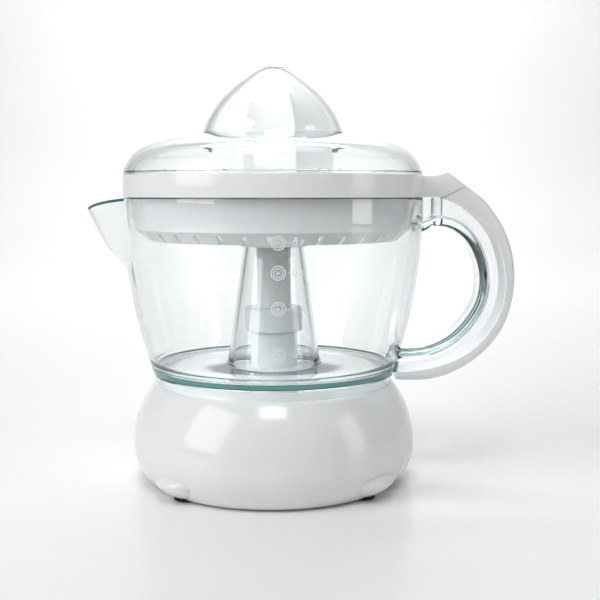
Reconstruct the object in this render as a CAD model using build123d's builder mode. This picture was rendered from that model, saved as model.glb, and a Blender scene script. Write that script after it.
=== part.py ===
"""Electric citrus press: a motor base, a jug with a centre tower, a strainer, a ribbed cone and a dust cover.

Millimetres, +Z up. The origin is on the spindle's axis, on the surface that the rubber feet stand on.
The spout points towards -X and the handle towards +X.
"""

import os
from math import acos, atan2, cos, degrees, pi, radians, sin, tan

from build123d import *

os.makedirs("parts", exist_ok=True)

# ---- driving dimensions -------------------------------------------------------------------------

# Jug
rim_radius = 75.0
rim_height = 143.0
jug_wall = 2.4
skirt_radius = 59.5
skirt_height = 50.2
floor_lift = 8.2
floor_thickness = 2.1
floor_radius = 62.2
wall_bulge = 3.9
spout_reach = 18.8
spout_half_width = 31.0
handle_width = 22.0
handle_wall = 2.2

# Strainer and dust cover
band_height = 10.8
band_wall = 2.3
strainer_wall = 2.0
strainer_depth = 21.0
slot_count = 36
slot_width = 2.2
cover_wall = 2.0
dome_radius = 35.4
shoulder_rise = 20.8
dome_rise = 33.6

# Reaming cone
cone_radius = 33.0
cone_gap = 9.0
cone_rise = 74.0
cone_wall = 2.2
web_height = 34.0
rib_count = 8
rib_angle = 20.5
rib_width = 4.2
flute_depth = 3.6

# Spindle
spindle_radius = 8.75
spindle_reach = 31.0
shank_flats = 10.0
cap_lift = 17.6
cap_thickness = 12.0
press_travel = 4.0

# Base
belly_radius = 71.75
belly_height = 19.4
base_wall = 2.5
base_bottom = 1.0
base_bottom_radius = 63.0
plateau_rise = 5.0
neck_wall = 2.0
foot_circle = 58.8
foot_radius = 6.5
foot_angle = 46.9
foot_recess = 1.2
inlet_height = 16.0
inlet_radius = 3.3

# Gear train: modules, teeth and levels
pressure_angle = 25.0
backlash = 0.10
motor_module = 0.7
middle_module = 0.8
output_module = 1.0
motor_pinion_teeth = 12
first_wheel_teeth = 48
first_pinion_teeth = 12
second_wheel_teeth = 42
second_pinion_teeth = 14
output_teeth = 42
plate_height = 24.0
plate_thickness = 2.0
first_level = 27.0
second_level = 32.0
output_level = 38.0
gear_top = 46.0
pin_radius = 1.5

# Motor
magnet_radius = 10.2
air_gap = 0.5
stack_height = 11.0
stack_thickness = 8.0
leg_width = 9.0
yoke_reach = 48.0
winding_thickness = 3.0
coil_length = 21.0
motor_screw_wall = 1.4

# Clearances
running = 0.08
sliding = 0.3
loose = 0.6

# ---- sizes that follow --------------------------------------------------------------------------

jug_height = rim_height - skirt_height
floor_height = skirt_height + floor_lift
handle_half = handle_width / 2
strainer_top = rim_height + band_height
strainer_floor = rim_height - strainer_depth
crease_height = strainer_top + shoulder_rise
dome_top = crease_height + dome_rise
cone_foot = strainer_floor + cone_gap
cone_top = cone_foot + cone_rise
cap_height = floor_height + cap_lift

bush_wall = 1.2
neck_bore = spindle_radius + running + bush_wall
neck_radius = neck_bore + neck_wall
cap_bore = neck_radius + loose
cap_radius = cap_bore + 1.9
cap_top = cap_height + cap_thickness
cap_roof = 2.0
neck_top = cap_top - cap_roof - press_travel - 1.0
plateau_radius = skirt_radius - jug_wall - 0.5
plateau_height = skirt_height + plateau_rise
shoulder_radius = skirt_radius + 0.7

tower_wall = 2.2
tower_top = strainer_floor + 2.5
tower_top_radius = spindle_radius + tower_wall + 3.4
tower_foot_radius = cap_radius + tower_wall + 7.1

collar_radius = tower_top_radius + 2.6
hub_bore = spindle_radius + 0.75
hub_top = strainer_floor + 12.0
spindle_top = hub_top + spindle_reach
drive_flats = 2 * (spindle_radius - 0.8) * cos(pi / 6)
socket_flats = drive_flats + 2 * sliding
socket_radius = socket_flats / 2 / cos(pi / 6) + 1.8
drive_foot = hub_top - 8.0
socket_foot = hub_top + press_travel + 1.0

shank_radius = shank_flats / 2 / cos(pi / 6)
hub_hole_flats = shank_flats + sliding
gear_hub_radius = hub_hole_flats / 2 / cos(pi / 6) + 3.3
gear_hub_top = gear_top + 3.0
shank_bottom = plate_height - 6.0
pip_height = 2.5
pip_radius = 1.6
spring_wire = 1.2
spring_radius = (shank_radius + neck_bore) / 2
spring_top = gear_hub_top + 17.0
clip_thickness = 1.0
clip_top = plate_height - 0.1

cover_plate_height = gear_top + 0.6
cover_plate_thickness = 1.4

lever_pivot_y = 26.0
lever_thickness = 2.2
lever_top = shank_bottom - 0.4
lever_height = lever_top - lever_thickness / 2
plunger_y = lever_pivot_y - 12.0
plunger_radius = 1.0
plunger_top = lever_top - lever_thickness - 0.3
bottom_thickness = 2.5
bottom_top = base_bottom + 0.3 + bottom_thickness

screw_radius = 1.5


def pitch_radius(module, teeth):
    return module * teeth / 2


# Gear axes, from the spindle outwards to the rotor
second_distance = pitch_radius(output_module, second_pinion_teeth + output_teeth)
first_distance = pitch_radius(middle_module, first_pinion_teeth + second_wheel_teeth)
rotor_distance = pitch_radius(motor_module, motor_pinion_teeth + first_wheel_teeth)
second_axis = Vector(-second_distance, 0)
first_axis = second_axis + Vector(first_distance, 0).rotate(Axis.Z, -75)
rotor_axis = first_axis + Vector(rotor_distance, 0).rotate(Axis.Z, -60)


# ---- shared shapes ------------------------------------------------------------------------------


def above(axis, height):
    """A level plane at a height, centred on a gear's axis."""
    return Plane((axis.X, axis.Y, height))


def bearing(start, end):
    """The angle in degrees of the line from one gear axis to another."""
    return degrees(atan2(end.Y - start.Y, end.X - start.X))


def involute(angle):
    return tan(angle) - angle


def tooth_points(module, teeth):
    """One tooth centred on +X: root, flank, tip, flank, root, going anticlockwise."""
    pitch = pitch_radius(module, teeth)
    base = pitch * cos(radians(pressure_angle))
    tip = pitch + 0.95 * module
    root = pitch - 1.2 * module
    half = pi / (2 * teeth) - backlash / (2 * pitch) + involute(radians(pressure_angle))
    start = max(base, root)
    radii = [start + (tip - start) * share for share in (0, 0.2, 0.45, 0.72, 1)]
    flank = [(radius, half - involute(acos(min(1, base / radius)))) for radius in radii]
    if root < base:
        flank.insert(0, (root, half))
    return [(radius, -angle) for radius, angle in flank] + list(reversed(flank))


def gear_outline(module, teeth, first_tooth):
    """A gear's outline, with a tooth's middle at the first_tooth angle in degrees."""
    outline = []
    for number in range(teeth):
        turn = radians(first_tooth) + number * 2 * pi / teeth
        for radius, angle in tooth_points(module, teeth):
            outline.append((radius * cos(turn + angle), radius * sin(turn + angle)))
    return outline


def gap_facing(angle, teeth):
    """Where a gear's first tooth goes so that a gap faces the angle."""
    return angle + 180 / teeth


def wall_curve(inset):
    """Low, middle and high points of the jug wall's arc, moved inwards by inset."""
    low = (floor_radius - inset, floor_height)
    high = (rim_radius - inset, rim_height)
    middle = ((low[0] + high[0]) / 2 + wall_bulge, (floor_height + rim_height) / 2)
    return low, middle, high


def jug_envelope(gap):
    """The jug's solid outer form without spout or handle, grown by gap."""
    low, middle, high = wall_curve(-gap)
    with BuildPart(mode=Mode.PRIVATE) as envelope:
        with BuildSketch(Plane.XZ):
            with BuildLine():
                Polyline((0, rim_height), high)
                ThreePointArc(high, middle, low)
                Polyline(low, (skirt_radius + gap, skirt_height), (0, skirt_height), (0, rim_height))
            make_face()
        revolve(axis=Axis.Z)
    return envelope.part


def spout_section(tip, half_width, root):
    """A rounded V pointing to -X."""
    nose = 5.0
    with BuildSketch(mode=Mode.PRIVATE) as section:
        with BuildLine():
            corners = FilletPolyline((root, half_width), (-tip, 0), (root, -half_width), radius=nose)
            Line(corners @ 1, corners @ 0)
        make_face()
    return section.sketch


def spout_body(inset):
    """The spout's outer form, or with an inset its channel, from below its root up past the rim."""
    levels = [
        (rim_height + 3, rim_radius + spout_reach, 1.0),
        (rim_height - 0.17 * jug_height, rim_radius + 0.80 * spout_reach, 0.95),
        (rim_height - 0.31 * jug_height, rim_radius + 0.34 * spout_reach, 0.80),
        (rim_height - 0.46 * jug_height, rim_radius - 1.2 - inset, 0.55),
    ]
    root = -0.9 * rim_radius
    sections = []
    for height, tip, narrowing in levels:
        nose_room = 1.6 * inset
        half_width = spout_half_width * narrowing - 1.4 * inset
        face = spout_section(tip + 2.0 - nose_room, half_width, root + inset)
        sections.append(Plane.XY.offset(height) * face)
    return loft(Sketch() + sections)


def rise(share):
    """A height on the handle, as a share of the jug's height above its skirt."""
    return skirt_height + share * jug_height


loop_centre = Vector(rim_radius + 3, rise(0.52))


def outward(points, distance):
    """The points moved away from the middle of the handle's loop."""
    moved = []
    for x, z in points:
        step = (Vector(x, z) - loop_centre).normalized() * distance
        moved.append((x + step.X, z + step.Y))
    return moved


seam_low = (rim_radius + 9.5, rim_height)
seam_high = (rim_radius + 21.3, rim_height + 5.6)
cover_line = [
    (rim_radius + 24.0, rise(0.923)),
    (rim_radius + 37.6, rise(0.737)),
    (rim_radius + 41.2, rise(0.526)),
    (rim_radius + 34.9, rise(0.295)),
    (rim_radius + 20.6, rise(0.144)),
    (rim_radius + 5.2, rise(0.080)),
    (skirt_radius + 2.6, rise(0.057)),
]
back_line = [
    (rim_radius + 38.3, rise(0.864)),
    (rim_radius + 46.3, rise(0.565)),
    (rim_radius + 40.3, rise(0.285)),
    (rim_radius + 21.5, rise(0.082)),
    (skirt_radius + 2.2, rise(0.009)),
]
grip_line = [
    (rim_radius + 0.5, rise(0.820)),
    (rim_radius + 7.5, rise(0.845)),
    (rim_radius + 23.4, rise(0.737)),
    (rim_radius + 28.3, rise(0.550)),
    (rim_radius + 21.0, rise(0.338)),
    (rim_radius + 3.4, rise(0.200)),
    (skirt_radius + 4.0, rise(0.183)),
]


def handle_band(inner, outer, ends):
    """The face between two lines of the handle, closed by straight ends inside the jug's wall."""
    with BuildSketch(Plane.XZ, mode=Mode.PRIVATE) as band:
        with BuildLine():
            Polyline((inner[0][0] - 6, inner[0][1]), (ends[0][0] - 6, ends[0][1]), ends[0])
            Spline(ends[0], *outer)
            Polyline(outer[-1], (outer[-1][0] - 5, outer[-1][1]), (inner[-1][0] - 5, inner[-1][1]), inner[-1])
            Spline(*reversed(inner))
            Line(inner[0], (inner[0][0] - 6, inner[0][1]))
        make_face()
    return band.sketch


def dome_curves(inset):
    """Draws the dust cover's outline moved inwards by inset, and gives its top and its edge."""
    span = dome_top - crease_height
    top = (0, dome_top - inset)
    crease = (dome_radius - inset, crease_height - (0.2 if inset == 0 else inset))
    upper = (0.46 * dome_radius - 0.55 * inset, dome_top - 0.205 * span - 0.8 * inset)
    lower = (0.80 * dome_radius - 0.8 * inset, dome_top - 0.575 * span - 0.6 * inset)
    shoulder = (rim_radius - 9.0 - 0.6 * inset, crease_height - 7.6 - inset)
    hip = (rim_radius - 2.6 - 0.9 * inset, crease_height - 14.0 - 0.4 * inset)
    edge = (rim_radius - 0.3 - inset, strainer_top)
    Spline(top, upper, lower, crease, tangents=[(1, -0.05), (0.12, -1)])
    slope = (dome_radius + 16, crease_height - 3.0 - inset)
    Spline(crease, slope, shoulder, hip, edge, tangents=[(1, -0.1), (0.02, -1)])
    return top, edge


def ring(outer, inner, low, high):
    """A plain tube on the spindle's axis."""
    with BuildPart(mode=Mode.PRIVATE) as tube:
        with BuildSketch(Plane.XY.offset(low)):
            Circle(outer)
            if inner:
                Circle(inner, mode=Mode.SUBTRACT)
        extrude(amount=high - low)
    return tube.part


# ---- jug ----------------------------------------------------------------------------------------

with BuildPart() as jug:
    extrude(handle_band(grip_line, cover_line, [seam_low]), amount=handle_half, both=True)
    pocket_mouth = [(seam_low[0], rim_height + 3)]
    pocket = handle_band(outward(grip_line, handle_wall), outward(cover_line, 3), pocket_mouth)
    extrude(pocket, amount=handle_half - handle_wall, both=True, mode=Mode.SUBTRACT)
    with BuildSketch(Plane.XY.offset(rise(0.86))):
        with Locations((rim_radius + 7.0, 0)):
            Rectangle(handle_wall, handle_width - handle_wall)
    extrude(amount=rim_height - rise(0.86))
    add(jug_envelope(0))
    add(spout_body(0))
    bowl_low, bowl_middle, bowl_high = wall_curve(jug_wall)
    with BuildSketch(Plane.XZ) as bowl:
        with BuildLine():
            Polyline((0, rim_height + 10), (bowl_high[0], rim_height + 10), bowl_high)
            ThreePointArc(bowl_high, bowl_middle, bowl_low)
            Polyline(bowl_low, (0, floor_height), (0, rim_height + 10))
        make_face()
    revolve(axis=Axis.Z, mode=Mode.SUBTRACT)
    add(spout_body(jug_wall), mode=Mode.SUBTRACT)
    with BuildSketch(Plane.XZ) as lip_trim:
        with BuildLine():
            rim_start = (-rim_radius + 1, rim_height)
            lip_middle = (-rim_radius - 0.6 * spout_reach, rim_height - 1.9)
            lip_end = (-rim_radius - 1.1 * spout_reach, rim_height - 6.6)
            ThreePointArc(rim_start, lip_middle, lip_end)
            Polyline(lip_end, (lip_end[0], rim_height + 20), (rim_start[0], rim_height + 20), rim_start)
        make_face()
    extrude(amount=rim_radius, both=True, mode=Mode.SUBTRACT)
    with BuildSketch(Plane.XY.offset(rim_height)):
        Circle(rim_radius + spout_reach + 10)
        with Locations((rim_radius * 1.5, 0)):
            Rectangle(rim_radius * 1.4, handle_width * 2, mode=Mode.SUBTRACT)
    extrude(amount=15, mode=Mode.SUBTRACT)
    with BuildSketch(Plane.XZ) as under_floor:
        Polygon(
            (0, skirt_height - 1),
            (skirt_radius - jug_wall, skirt_height - 1),
            (skirt_radius - jug_wall, skirt_height),
            (floor_radius - jug_wall - 0.7, floor_height - floor_thickness),
            (0, floor_height - floor_thickness),
            align=None,
        )
    revolve(axis=Axis.Z, mode=Mode.SUBTRACT)
    with BuildSketch(Plane.XZ) as tower:
        Polygon(
            (0, floor_height - floor_thickness),
            (tower_foot_radius, floor_height - floor_thickness),
            (tower_foot_radius, floor_height),
            (tower_top_radius, tower_top),
            (0, tower_top),
            align=None,
        )
    revolve(axis=Axis.Z)
    with BuildSketch(Plane.XZ) as tower_bore:
        Polygon(
            (0, floor_height - floor_thickness - 1),
            (tower_foot_radius - tower_wall, floor_height - floor_thickness - 1),
            (tower_foot_radius - tower_wall, floor_height - floor_thickness),
            (tower_top_radius - tower_wall, tower_top),
            (tower_top_radius - tower_wall, tower_top + 1),
            (0, tower_top + 1),
            align=None,
        )
    revolve(axis=Axis.Z, mode=Mode.SUBTRACT)
jug.part.label = "jug"
export_step(jug.part, "parts/jug.step")

# The white cover closes the open side of the handle's channel
with BuildPart() as handle_cover:
    with BuildSketch(Plane.XZ):
        with BuildLine():
            Line(seam_low, seam_high)
            Spline(seam_high, *back_line)
            Line(back_line[-1], cover_line[-1])
            Spline(*reversed(cover_line), seam_low)
        make_face()
    extrude(amount=handle_half, both=True)
    with BuildSketch(Plane.XZ):
        with BuildLine():
            hollow_back = outward(back_line[:-1], -handle_wall)
            hollow_front = outward(cover_line[:-1], -1)
            start = (seam_low[0] + 6.5, seam_low[1] + 1.0)
            Line(hollow_front[0], start)
            Spline(start, *hollow_back)
            Line(hollow_back[-1], hollow_front[-1])
            Spline(*reversed(hollow_front))
        make_face()
    extrude(amount=handle_half - handle_wall, both=True, mode=Mode.SUBTRACT)
    add(jug_envelope(0.05), mode=Mode.SUBTRACT)
handle_cover.part.label = "handle_cover"
export_step(handle_cover.part, "parts/handle_cover.step")

# ---- strainer -----------------------------------------------------------------------------------

basket_radius = rim_radius - jug_wall - sliding
basket_foot_radius = rim_radius - 9.0

with BuildPart() as strainer:
    with BuildSketch(Plane.XZ):
        Polygon(
            (rim_radius, strainer_top),
            (rim_radius, rim_height),
            (basket_radius, rim_height),
            (basket_foot_radius + 1.0, strainer_floor + 5.0),
            (basket_foot_radius - 3.5, strainer_floor),
            (collar_radius, strainer_floor + 0.5),
            (collar_radius, strainer_floor - 3.5),
            (tower_top_radius + 0.9, strainer_floor - 3.5),
            (tower_top_radius + 0.9, tower_top + 1.0),
            (hub_bore, tower_top + 1.0),
            (hub_bore, hub_top),
            (hub_bore + 2.6, hub_top),
            (collar_radius, tower_top + 3.5),
            (0.42 * basket_foot_radius, strainer_floor + strainer_wall + 0.3),
            (basket_foot_radius - 4.3, strainer_floor + strainer_wall),
            (basket_foot_radius - 1.0, strainer_floor + 5.6),
            (basket_radius - strainer_wall, rim_height),
            (rim_radius - band_wall, rim_height + 3.0),
            (rim_radius - band_wall, strainer_top),
            align=None,
        )
    revolve(axis=Axis.Z)
    with BuildSketch(Plane.XY.offset(strainer_floor - 2)):
        with PolarLocations(0.80 * basket_foot_radius, slot_count, start_angle=180 / slot_count):
            SlotOverall(0.42 * basket_foot_radius, slot_width)
    extrude(amount=8, mode=Mode.SUBTRACT)
    with BuildSketch(Plane.XZ):
        Polygon(
            (rim_radius - 1.2, rim_height),
            seam_low,
            seam_high,
            (rim_radius + 15.1, strainer_top - 0.6),
            (rim_radius + 11.2, strainer_top + 2.1),
            (rim_radius + 6.0, strainer_top),
            (rim_radius - 1.2, strainer_top),
            align=None,
        )
    extrude(amount=handle_half, both=True)
strainer.part.label = "strainer"
export_step(strainer.part, "parts/strainer.step")

# ---- dust cover ---------------------------------------------------------------------------------

with BuildPart() as dust_cover:
    with BuildSketch(Plane.XZ):
        with BuildLine():
            top, edge = dome_curves(0)
            Polyline(edge, (0, strainer_top), top)
        make_face()
    revolve(axis=Axis.Z)
    with BuildSketch(Plane.XZ):
        with BuildLine():
            top, edge = dome_curves(cover_wall)
            Polyline(edge, (edge[0], strainer_top - 1), (0, strainer_top - 1), top)
        make_face()
    revolve(axis=Axis.Z, mode=Mode.SUBTRACT)
    # The lip drops inside the strainer's band and centres the cover
    with BuildSketch(Plane.XZ):
        lip_radius = rim_radius - band_wall - sliding
        Polygon(
            (lip_radius, strainer_top - 2.2),
            (lip_radius, strainer_top),
            (rim_radius - 1.0, strainer_top),
            (rim_radius - cover_wall, strainer_top + 1.5),
            (lip_radius - 1.4, strainer_top + 1.5),
            (lip_radius - 1.4, strainer_top - 2.2),
            align=None,
        )
    revolve(axis=Axis.Z)
dust_cover.part.label = "dust_cover"
export_step(dust_cover.part, "parts/dust_cover.step")

# ---- reaming cone -------------------------------------------------------------------------------


def cone_face(inset):
    """Half the cone's section, out to the rib line moved inwards by inset."""
    with BuildSketch(Plane.XZ, mode=Mode.PRIVATE) as half:
        with BuildLine():
            foot = (cone_radius - inset, cone_foot)
            top = (0, cone_top - inset)
            side = (cone_radius - 1.4 - inset, cone_foot + 0.58 * cone_rise)
            waist = (0.80 * cone_radius - 0.95 * inset, cone_foot + 0.765 * cone_rise - 0.4 * inset)
            brow = (0.48 * cone_radius - 0.6 * inset, cone_foot + 0.905 * cone_rise - 0.8 * inset)
            Spline(foot, side, waist, brow, top, tangents=[(-0.01, 1), (-1, 0.1)])
            Polyline(top, (0, cone_foot), foot)
        make_face()
    return half.sketch


with BuildPart() as reamer_cone:
    revolve(cone_face(flute_depth), axis=Axis.Z)
    for number in range(rib_count):
        turned = cone_face(0).rotate(Axis.Z, rib_angle + number * 360 / rib_count)
        extrude(turned, amount=rib_width / 2, both=True)
    revolve(cone_face(flute_depth + cone_wall), axis=Axis.Z, mode=Mode.SUBTRACT)
    add(ring(socket_radius, 0, socket_foot, cone_top - 12))
    with BuildSketch(Plane.XY.offset(socket_foot + 6)):
        with PolarLocations(0, 4):
            with Locations((0.43 * cone_radius, 0)):
                Rectangle(0.86 * cone_radius, cone_wall)
    webs = extrude(amount=web_height, mode=Mode.PRIVATE)
    add(webs & revolve(cone_face(flute_depth + 0.2), axis=Axis.Z, mode=Mode.PRIVATE))
    with BuildSketch(Plane.XY.offset(socket_foot - 1)):
        RegularPolygon(socket_flats / 2, 6, major_radius=False)
    extrude(amount=spindle_top - socket_foot + 1, mode=Mode.SUBTRACT)
reamer_cone.part.label = "reamer_cone"
export_step(reamer_cone.part, "parts/reamer_cone.step")

# ---- spindle ------------------------------------------------------------------------------------

with BuildPart() as spindle:
    add(ring(spindle_radius, 0, spring_top, drive_foot))
    with BuildSketch(Plane.XY.offset(drive_foot)):
        RegularPolygon(drive_flats / 2, 6, major_radius=False)
    extrude(amount=spindle_top - drive_foot)
    # The cap sheds juice off the neck
    add(ring(cap_radius, 0, cap_top - cap_roof, cap_top))
    add(ring(cap_radius, cap_bore, cap_height, cap_top - cap_roof))
    with BuildSketch(Plane.XY.offset(shank_bottom + pip_height)):
        RegularPolygon(shank_flats / 2, 6, major_radius=False)
    extrude(amount=spring_top - shank_bottom - pip_height)
    # A pip under the shank presses the switch lever
    add(ring(pip_radius, 0, shank_bottom, shank_bottom + pip_height))
    add(ring(shank_radius + 1, 0.42 * shank_flats, clip_top - clip_thickness, clip_top), mode=Mode.SUBTRACT)
spindle.part.label = "spindle"
export_step(spindle.part, "parts/spindle.step")

with BuildPart() as spindle_clip:
    add(ring(shank_radius + 2.4, 0.42 * shank_flats, clip_top - clip_thickness, clip_top))
    with BuildSketch(Plane.XY.offset(clip_top - clip_thickness)):
        with Locations((shank_radius, 0)):
            Rectangle(2 * shank_radius, 0.6 * shank_flats)
    extrude(amount=clip_thickness, mode=Mode.SUBTRACT)
spindle_clip.part.label = "spindle_clip"
export_step(spindle_clip.part, "parts/spindle_clip.step")

with BuildPart() as spindle_spring:
    spring_low = gear_hub_top + spring_wire / 2
    spring_length = spring_top - gear_hub_top - spring_wire
    with BuildLine():
        coil = Helix(spring_length / 5.5, spring_length, spring_radius, center=(0, 0, spring_low))
    with BuildSketch(Plane(coil @ 0, z_dir=coil % 0)):
        Circle(spring_wire / 2)
    sweep()
spindle_spring.part.label = "spindle_spring"
export_step(spindle_spring.part, "parts/spindle_spring.step")

with BuildPart() as neck_bush:
    add(ring(neck_bore, spindle_radius + running, neck_top - 10, neck_top))
neck_bush.part.label = "neck_bush"
export_step(neck_bush.part, "parts/neck_bush.step")

# ---- base housing -------------------------------------------------------------------------------


def base_curves(inset):
    """The bun's outline, moved inwards by inset: shoulder down to the belly, and belly down to the bottom."""
    belly = (belly_radius - inset, belly_height)
    shoulder = (shoulder_radius - 1.2 * inset, skirt_height - inset)
    bottom = (base_bottom_radius - inset, base_bottom)
    TangentArc(belly, shoulder, tangent=(0, 1))
    TangentArc(belly, bottom, tangent=(0, -1))
    return shoulder, bottom


housing_boss_radius = 3.8
cover_screw_circle = base_bottom_radius - base_wall - 3.9
cover_screw_angles = (30, 150, 210, 330)
plate_screw_circle = shoulder_radius - 12.2
plate_screw_angles = (35, 110, 195, 325)
pod_radius = foot_radius + 2.0


def places(circle, angles):
    return [(circle * cos(radians(angle)), circle * sin(radians(angle))) for angle in angles]


foot_places = places(foot_circle, [foot_angle + 90 * quarter for quarter in range(4)])
cover_screws = places(cover_screw_circle, cover_screw_angles)
plate_screws = places(plate_screw_circle, plate_screw_angles)

with BuildPart() as base_housing:
    with BuildSketch(Plane.XZ):
        with BuildLine():
            shoulder, bottom = base_curves(0)
            Polyline(
                shoulder,
                (plateau_radius, skirt_height),
                (plateau_radius, plateau_height),
                (neck_radius, plateau_height),
                (neck_radius, neck_top),
                (0, neck_top),
                (0, base_bottom),
                bottom,
            )
        make_face()
    revolve(axis=Axis.Z)
    with BuildSketch(Plane.XZ):
        with BuildLine():
            shoulder, bottom = base_curves(base_wall)
            Polyline(
                shoulder,
                (plateau_radius - base_wall, skirt_height - base_wall),
                (plateau_radius - base_wall, plateau_height - base_wall),
                (0, plateau_height - base_wall),
                (0, base_bottom),
                bottom,
            )
        make_face()
    revolve(axis=Axis.Z, mode=Mode.SUBTRACT)
    with BuildSketch(Plane.XY.offset(base_bottom)):
        with Locations(foot_places):
            Circle(pod_radius)
    extrude(amount=7)
    with BuildSketch(Plane.XY.offset(bottom_top)):
        with Locations(cover_screws):
            Circle(housing_boss_radius)
    extrude(amount=skirt_height - 2 - bottom_top)
    with BuildSketch(Plane.XY.offset(plate_height + plate_thickness)):
        with Locations(plate_screws):
            Circle(housing_boss_radius)
    extrude(amount=plateau_height - 1 - plate_height - plate_thickness)
    # Boss and hole for the cord's gland at the back
    with BuildSketch(Plane.XZ.offset(-(belly_radius - 8.5))):
        with Locations((0, inlet_height)):
            Circle(inlet_radius + 4.2)
    extrude(amount=-6.1)
    with BuildSketch(Plane.XZ.offset(-(belly_radius - 2.4))):
        with Locations((0, inlet_height)):
            Circle(inlet_radius + 3.3)
    extrude(amount=-8, mode=Mode.SUBTRACT)
    with BuildSketch(Plane.XZ.offset(-(belly_radius - 12))):
        with Locations((0, inlet_height)):
            Circle(inlet_radius + 1.2)
    extrude(amount=-12, mode=Mode.SUBTRACT)
    # Recesses for the rubber feet, screw holes and the spindle's bore
    with BuildSketch(Plane.XY.offset(base_bottom)):
        with Locations(foot_places):
            Circle(foot_radius)
    extrude(amount=foot_recess, mode=Mode.SUBTRACT)
    with BuildSketch(Plane.XY.offset(bottom_top - 1)):
        with Locations(cover_screws):
            Circle(screw_radius)
    extrude(amount=12, mode=Mode.SUBTRACT)
    with BuildSketch(Plane.XY.offset(plate_height)):
        with Locations(plate_screws):
            Circle(screw_radius)
    extrude(amount=12, mode=Mode.SUBTRACT)
    add(ring(neck_bore, 0, plate_height, neck_top + 1), mode=Mode.SUBTRACT)
base_housing.part.label = "base_housing"
export_step(base_housing.part, "parts/base_housing.step")

with BuildPart() as foot_pads:
    with BuildSketch():
        with Locations(foot_places):
            Circle(foot_radius)
    extrude(amount=base_bottom + foot_recess)
foot_pads.part.label = "foot_pads"
export_step(foot_pads.part, "parts/foot_pads.step")

ear_places = [(-5.5, lever_pivot_y), (5.5, lever_pivot_y)]
bottom_low = base_bottom + 0.3

with BuildPart() as bottom_cover:
    with BuildSketch(Plane.XY.offset(bottom_low)):
        Circle(base_bottom_radius - base_wall - 0.4)
        with Locations(foot_places):
            Circle(pod_radius + sliding, mode=Mode.SUBTRACT)
        with GridLocations(18, 6, 3, 5):
            SlotOverall(14, 2.4, mode=Mode.SUBTRACT)
    extrude(amount=bottom_thickness)
    with BuildSketch(Plane.XY.offset(bottom_top)):
        with Locations(ear_places):
            Rectangle(2.5, 7)
    extrude(amount=lever_height + 2.8 - bottom_top)
    with BuildSketch(Plane.YZ.offset(-10)):
        with Locations((lever_pivot_y, lever_height)):
            Circle(pin_radius)
    extrude(amount=20, mode=Mode.SUBTRACT)
    with BuildSketch(Plane.XY.offset(bottom_low)):
        with Locations(cover_screws):
            Circle(screw_radius + 0.1)
    extrude(amount=bottom_thickness, mode=Mode.SUBTRACT)
bottom_cover.part.label = "bottom_cover"
export_step(bottom_cover.part, "parts/bottom_cover.step")


def screw_group(name, spots, seat, length, head_height):
    """Identical screws that point up from the seat, with their heads below it."""
    with BuildPart() as screws:
        with BuildSketch(Plane.XY.offset(seat)):
            with Locations(spots):
                Circle(screw_radius)
        extrude(amount=length)
        with BuildSketch(Plane.XY.offset(seat)):
            with Locations(spots):
                Circle(screw_radius + 1.2)
        extrude(amount=-head_height)
        with BuildSketch(Plane.XY.offset(seat - head_height)):
            with Locations(spots):
                Rectangle(2.6, 0.6)
                Rectangle(0.6, 2.6)
        extrude(amount=0.7 * head_height, mode=Mode.SUBTRACT)
    screws.part.label = name
    export_step(screws.part, f"parts/{name}.step")


screw_group("bottom_screws", cover_screws, bottom_low, 12, 1.2)
screw_group("plate_screws", plate_screws, plate_height, 10, 1.6)

with BuildPart() as cord_gland:
    gland_face = belly_radius + 0.6
    with BuildSketch(Plane.XZ.offset(-(belly_radius - 10.3))):
        with Locations((0, inlet_height)):
            Circle(inlet_radius + 1.2)
    extrude(amount=-7.9)
    with BuildSketch(Plane.XZ.offset(-(belly_radius - 2.4))):
        with Locations((0, inlet_height)):
            Circle(inlet_radius + 3.2)
    extrude(amount=-3)
    fillet(cord_gland.faces().sort_by(Axis.Y)[-1].edges(), 1.0)
    with BuildSketch(Plane.XZ.offset(-(belly_radius - 12))):
        with Locations((0, inlet_height)):
            Circle(inlet_radius)
    extrude(amount=-16, mode=Mode.SUBTRACT)
cord_gland.part.label = "cord_gland"
export_step(cord_gland.part, "parts/cord_gland.step")

# ---- gearbox ------------------------------------------------------------------------------------

axes = [second_axis, first_axis]
axis_spots = [(axis.X, axis.Y) for axis in axes]
rotor_spot = (rotor_axis.X, rotor_axis.Y)
bore_radius = magnet_radius + air_gap
motor_screw_offset = bore_radius + motor_screw_wall + screw_radius
motor_screw_spots = [(rotor_axis.X, rotor_axis.Y + side * motor_screw_offset) for side in (-1, 1)]
post_spots = [(24, 16), (-36, -36), (4, -28)]
post_radius = 2.2
plate_top = plate_height + plate_thickness

with BuildPart() as gear_plate:
    with BuildSketch(Plane.XY.offset(plate_height)):
        Circle(cover_screw_circle - housing_boss_radius - sliding)
    extrude(amount=plate_thickness)
    with BuildSketch(Plane.XY.offset(plate_top)):
        with Locations(axis_spots):
            Circle(pin_radius + 1.7)
    extrude(amount=first_level - 0.1 - plate_top)
    with BuildSketch(Plane.XY.offset(stack_height + stack_thickness)):
        with Locations(motor_screw_spots):
            Circle(screw_radius + 1.5)
    extrude(amount=plate_height - stack_height - stack_thickness)
    add(ring(gear_hub_radius + running, 0, plate_height - 1, plate_top + 1), mode=Mode.SUBTRACT)
    with BuildSketch(Plane.XY.offset(plate_height - 6)):
        with Locations(axis_spots):
            Circle(pin_radius)
        with Locations(motor_screw_spots):
            Circle(screw_radius)
        with Locations(plate_screws):
            Circle(screw_radius)
        with Locations([rotor_spot]):
            Circle(pin_radius + 2)
    extrude(amount=12, mode=Mode.SUBTRACT)
gear_plate.part.label = "gear_plate"
export_step(gear_plate.part, "parts/gear_plate.step")

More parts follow.
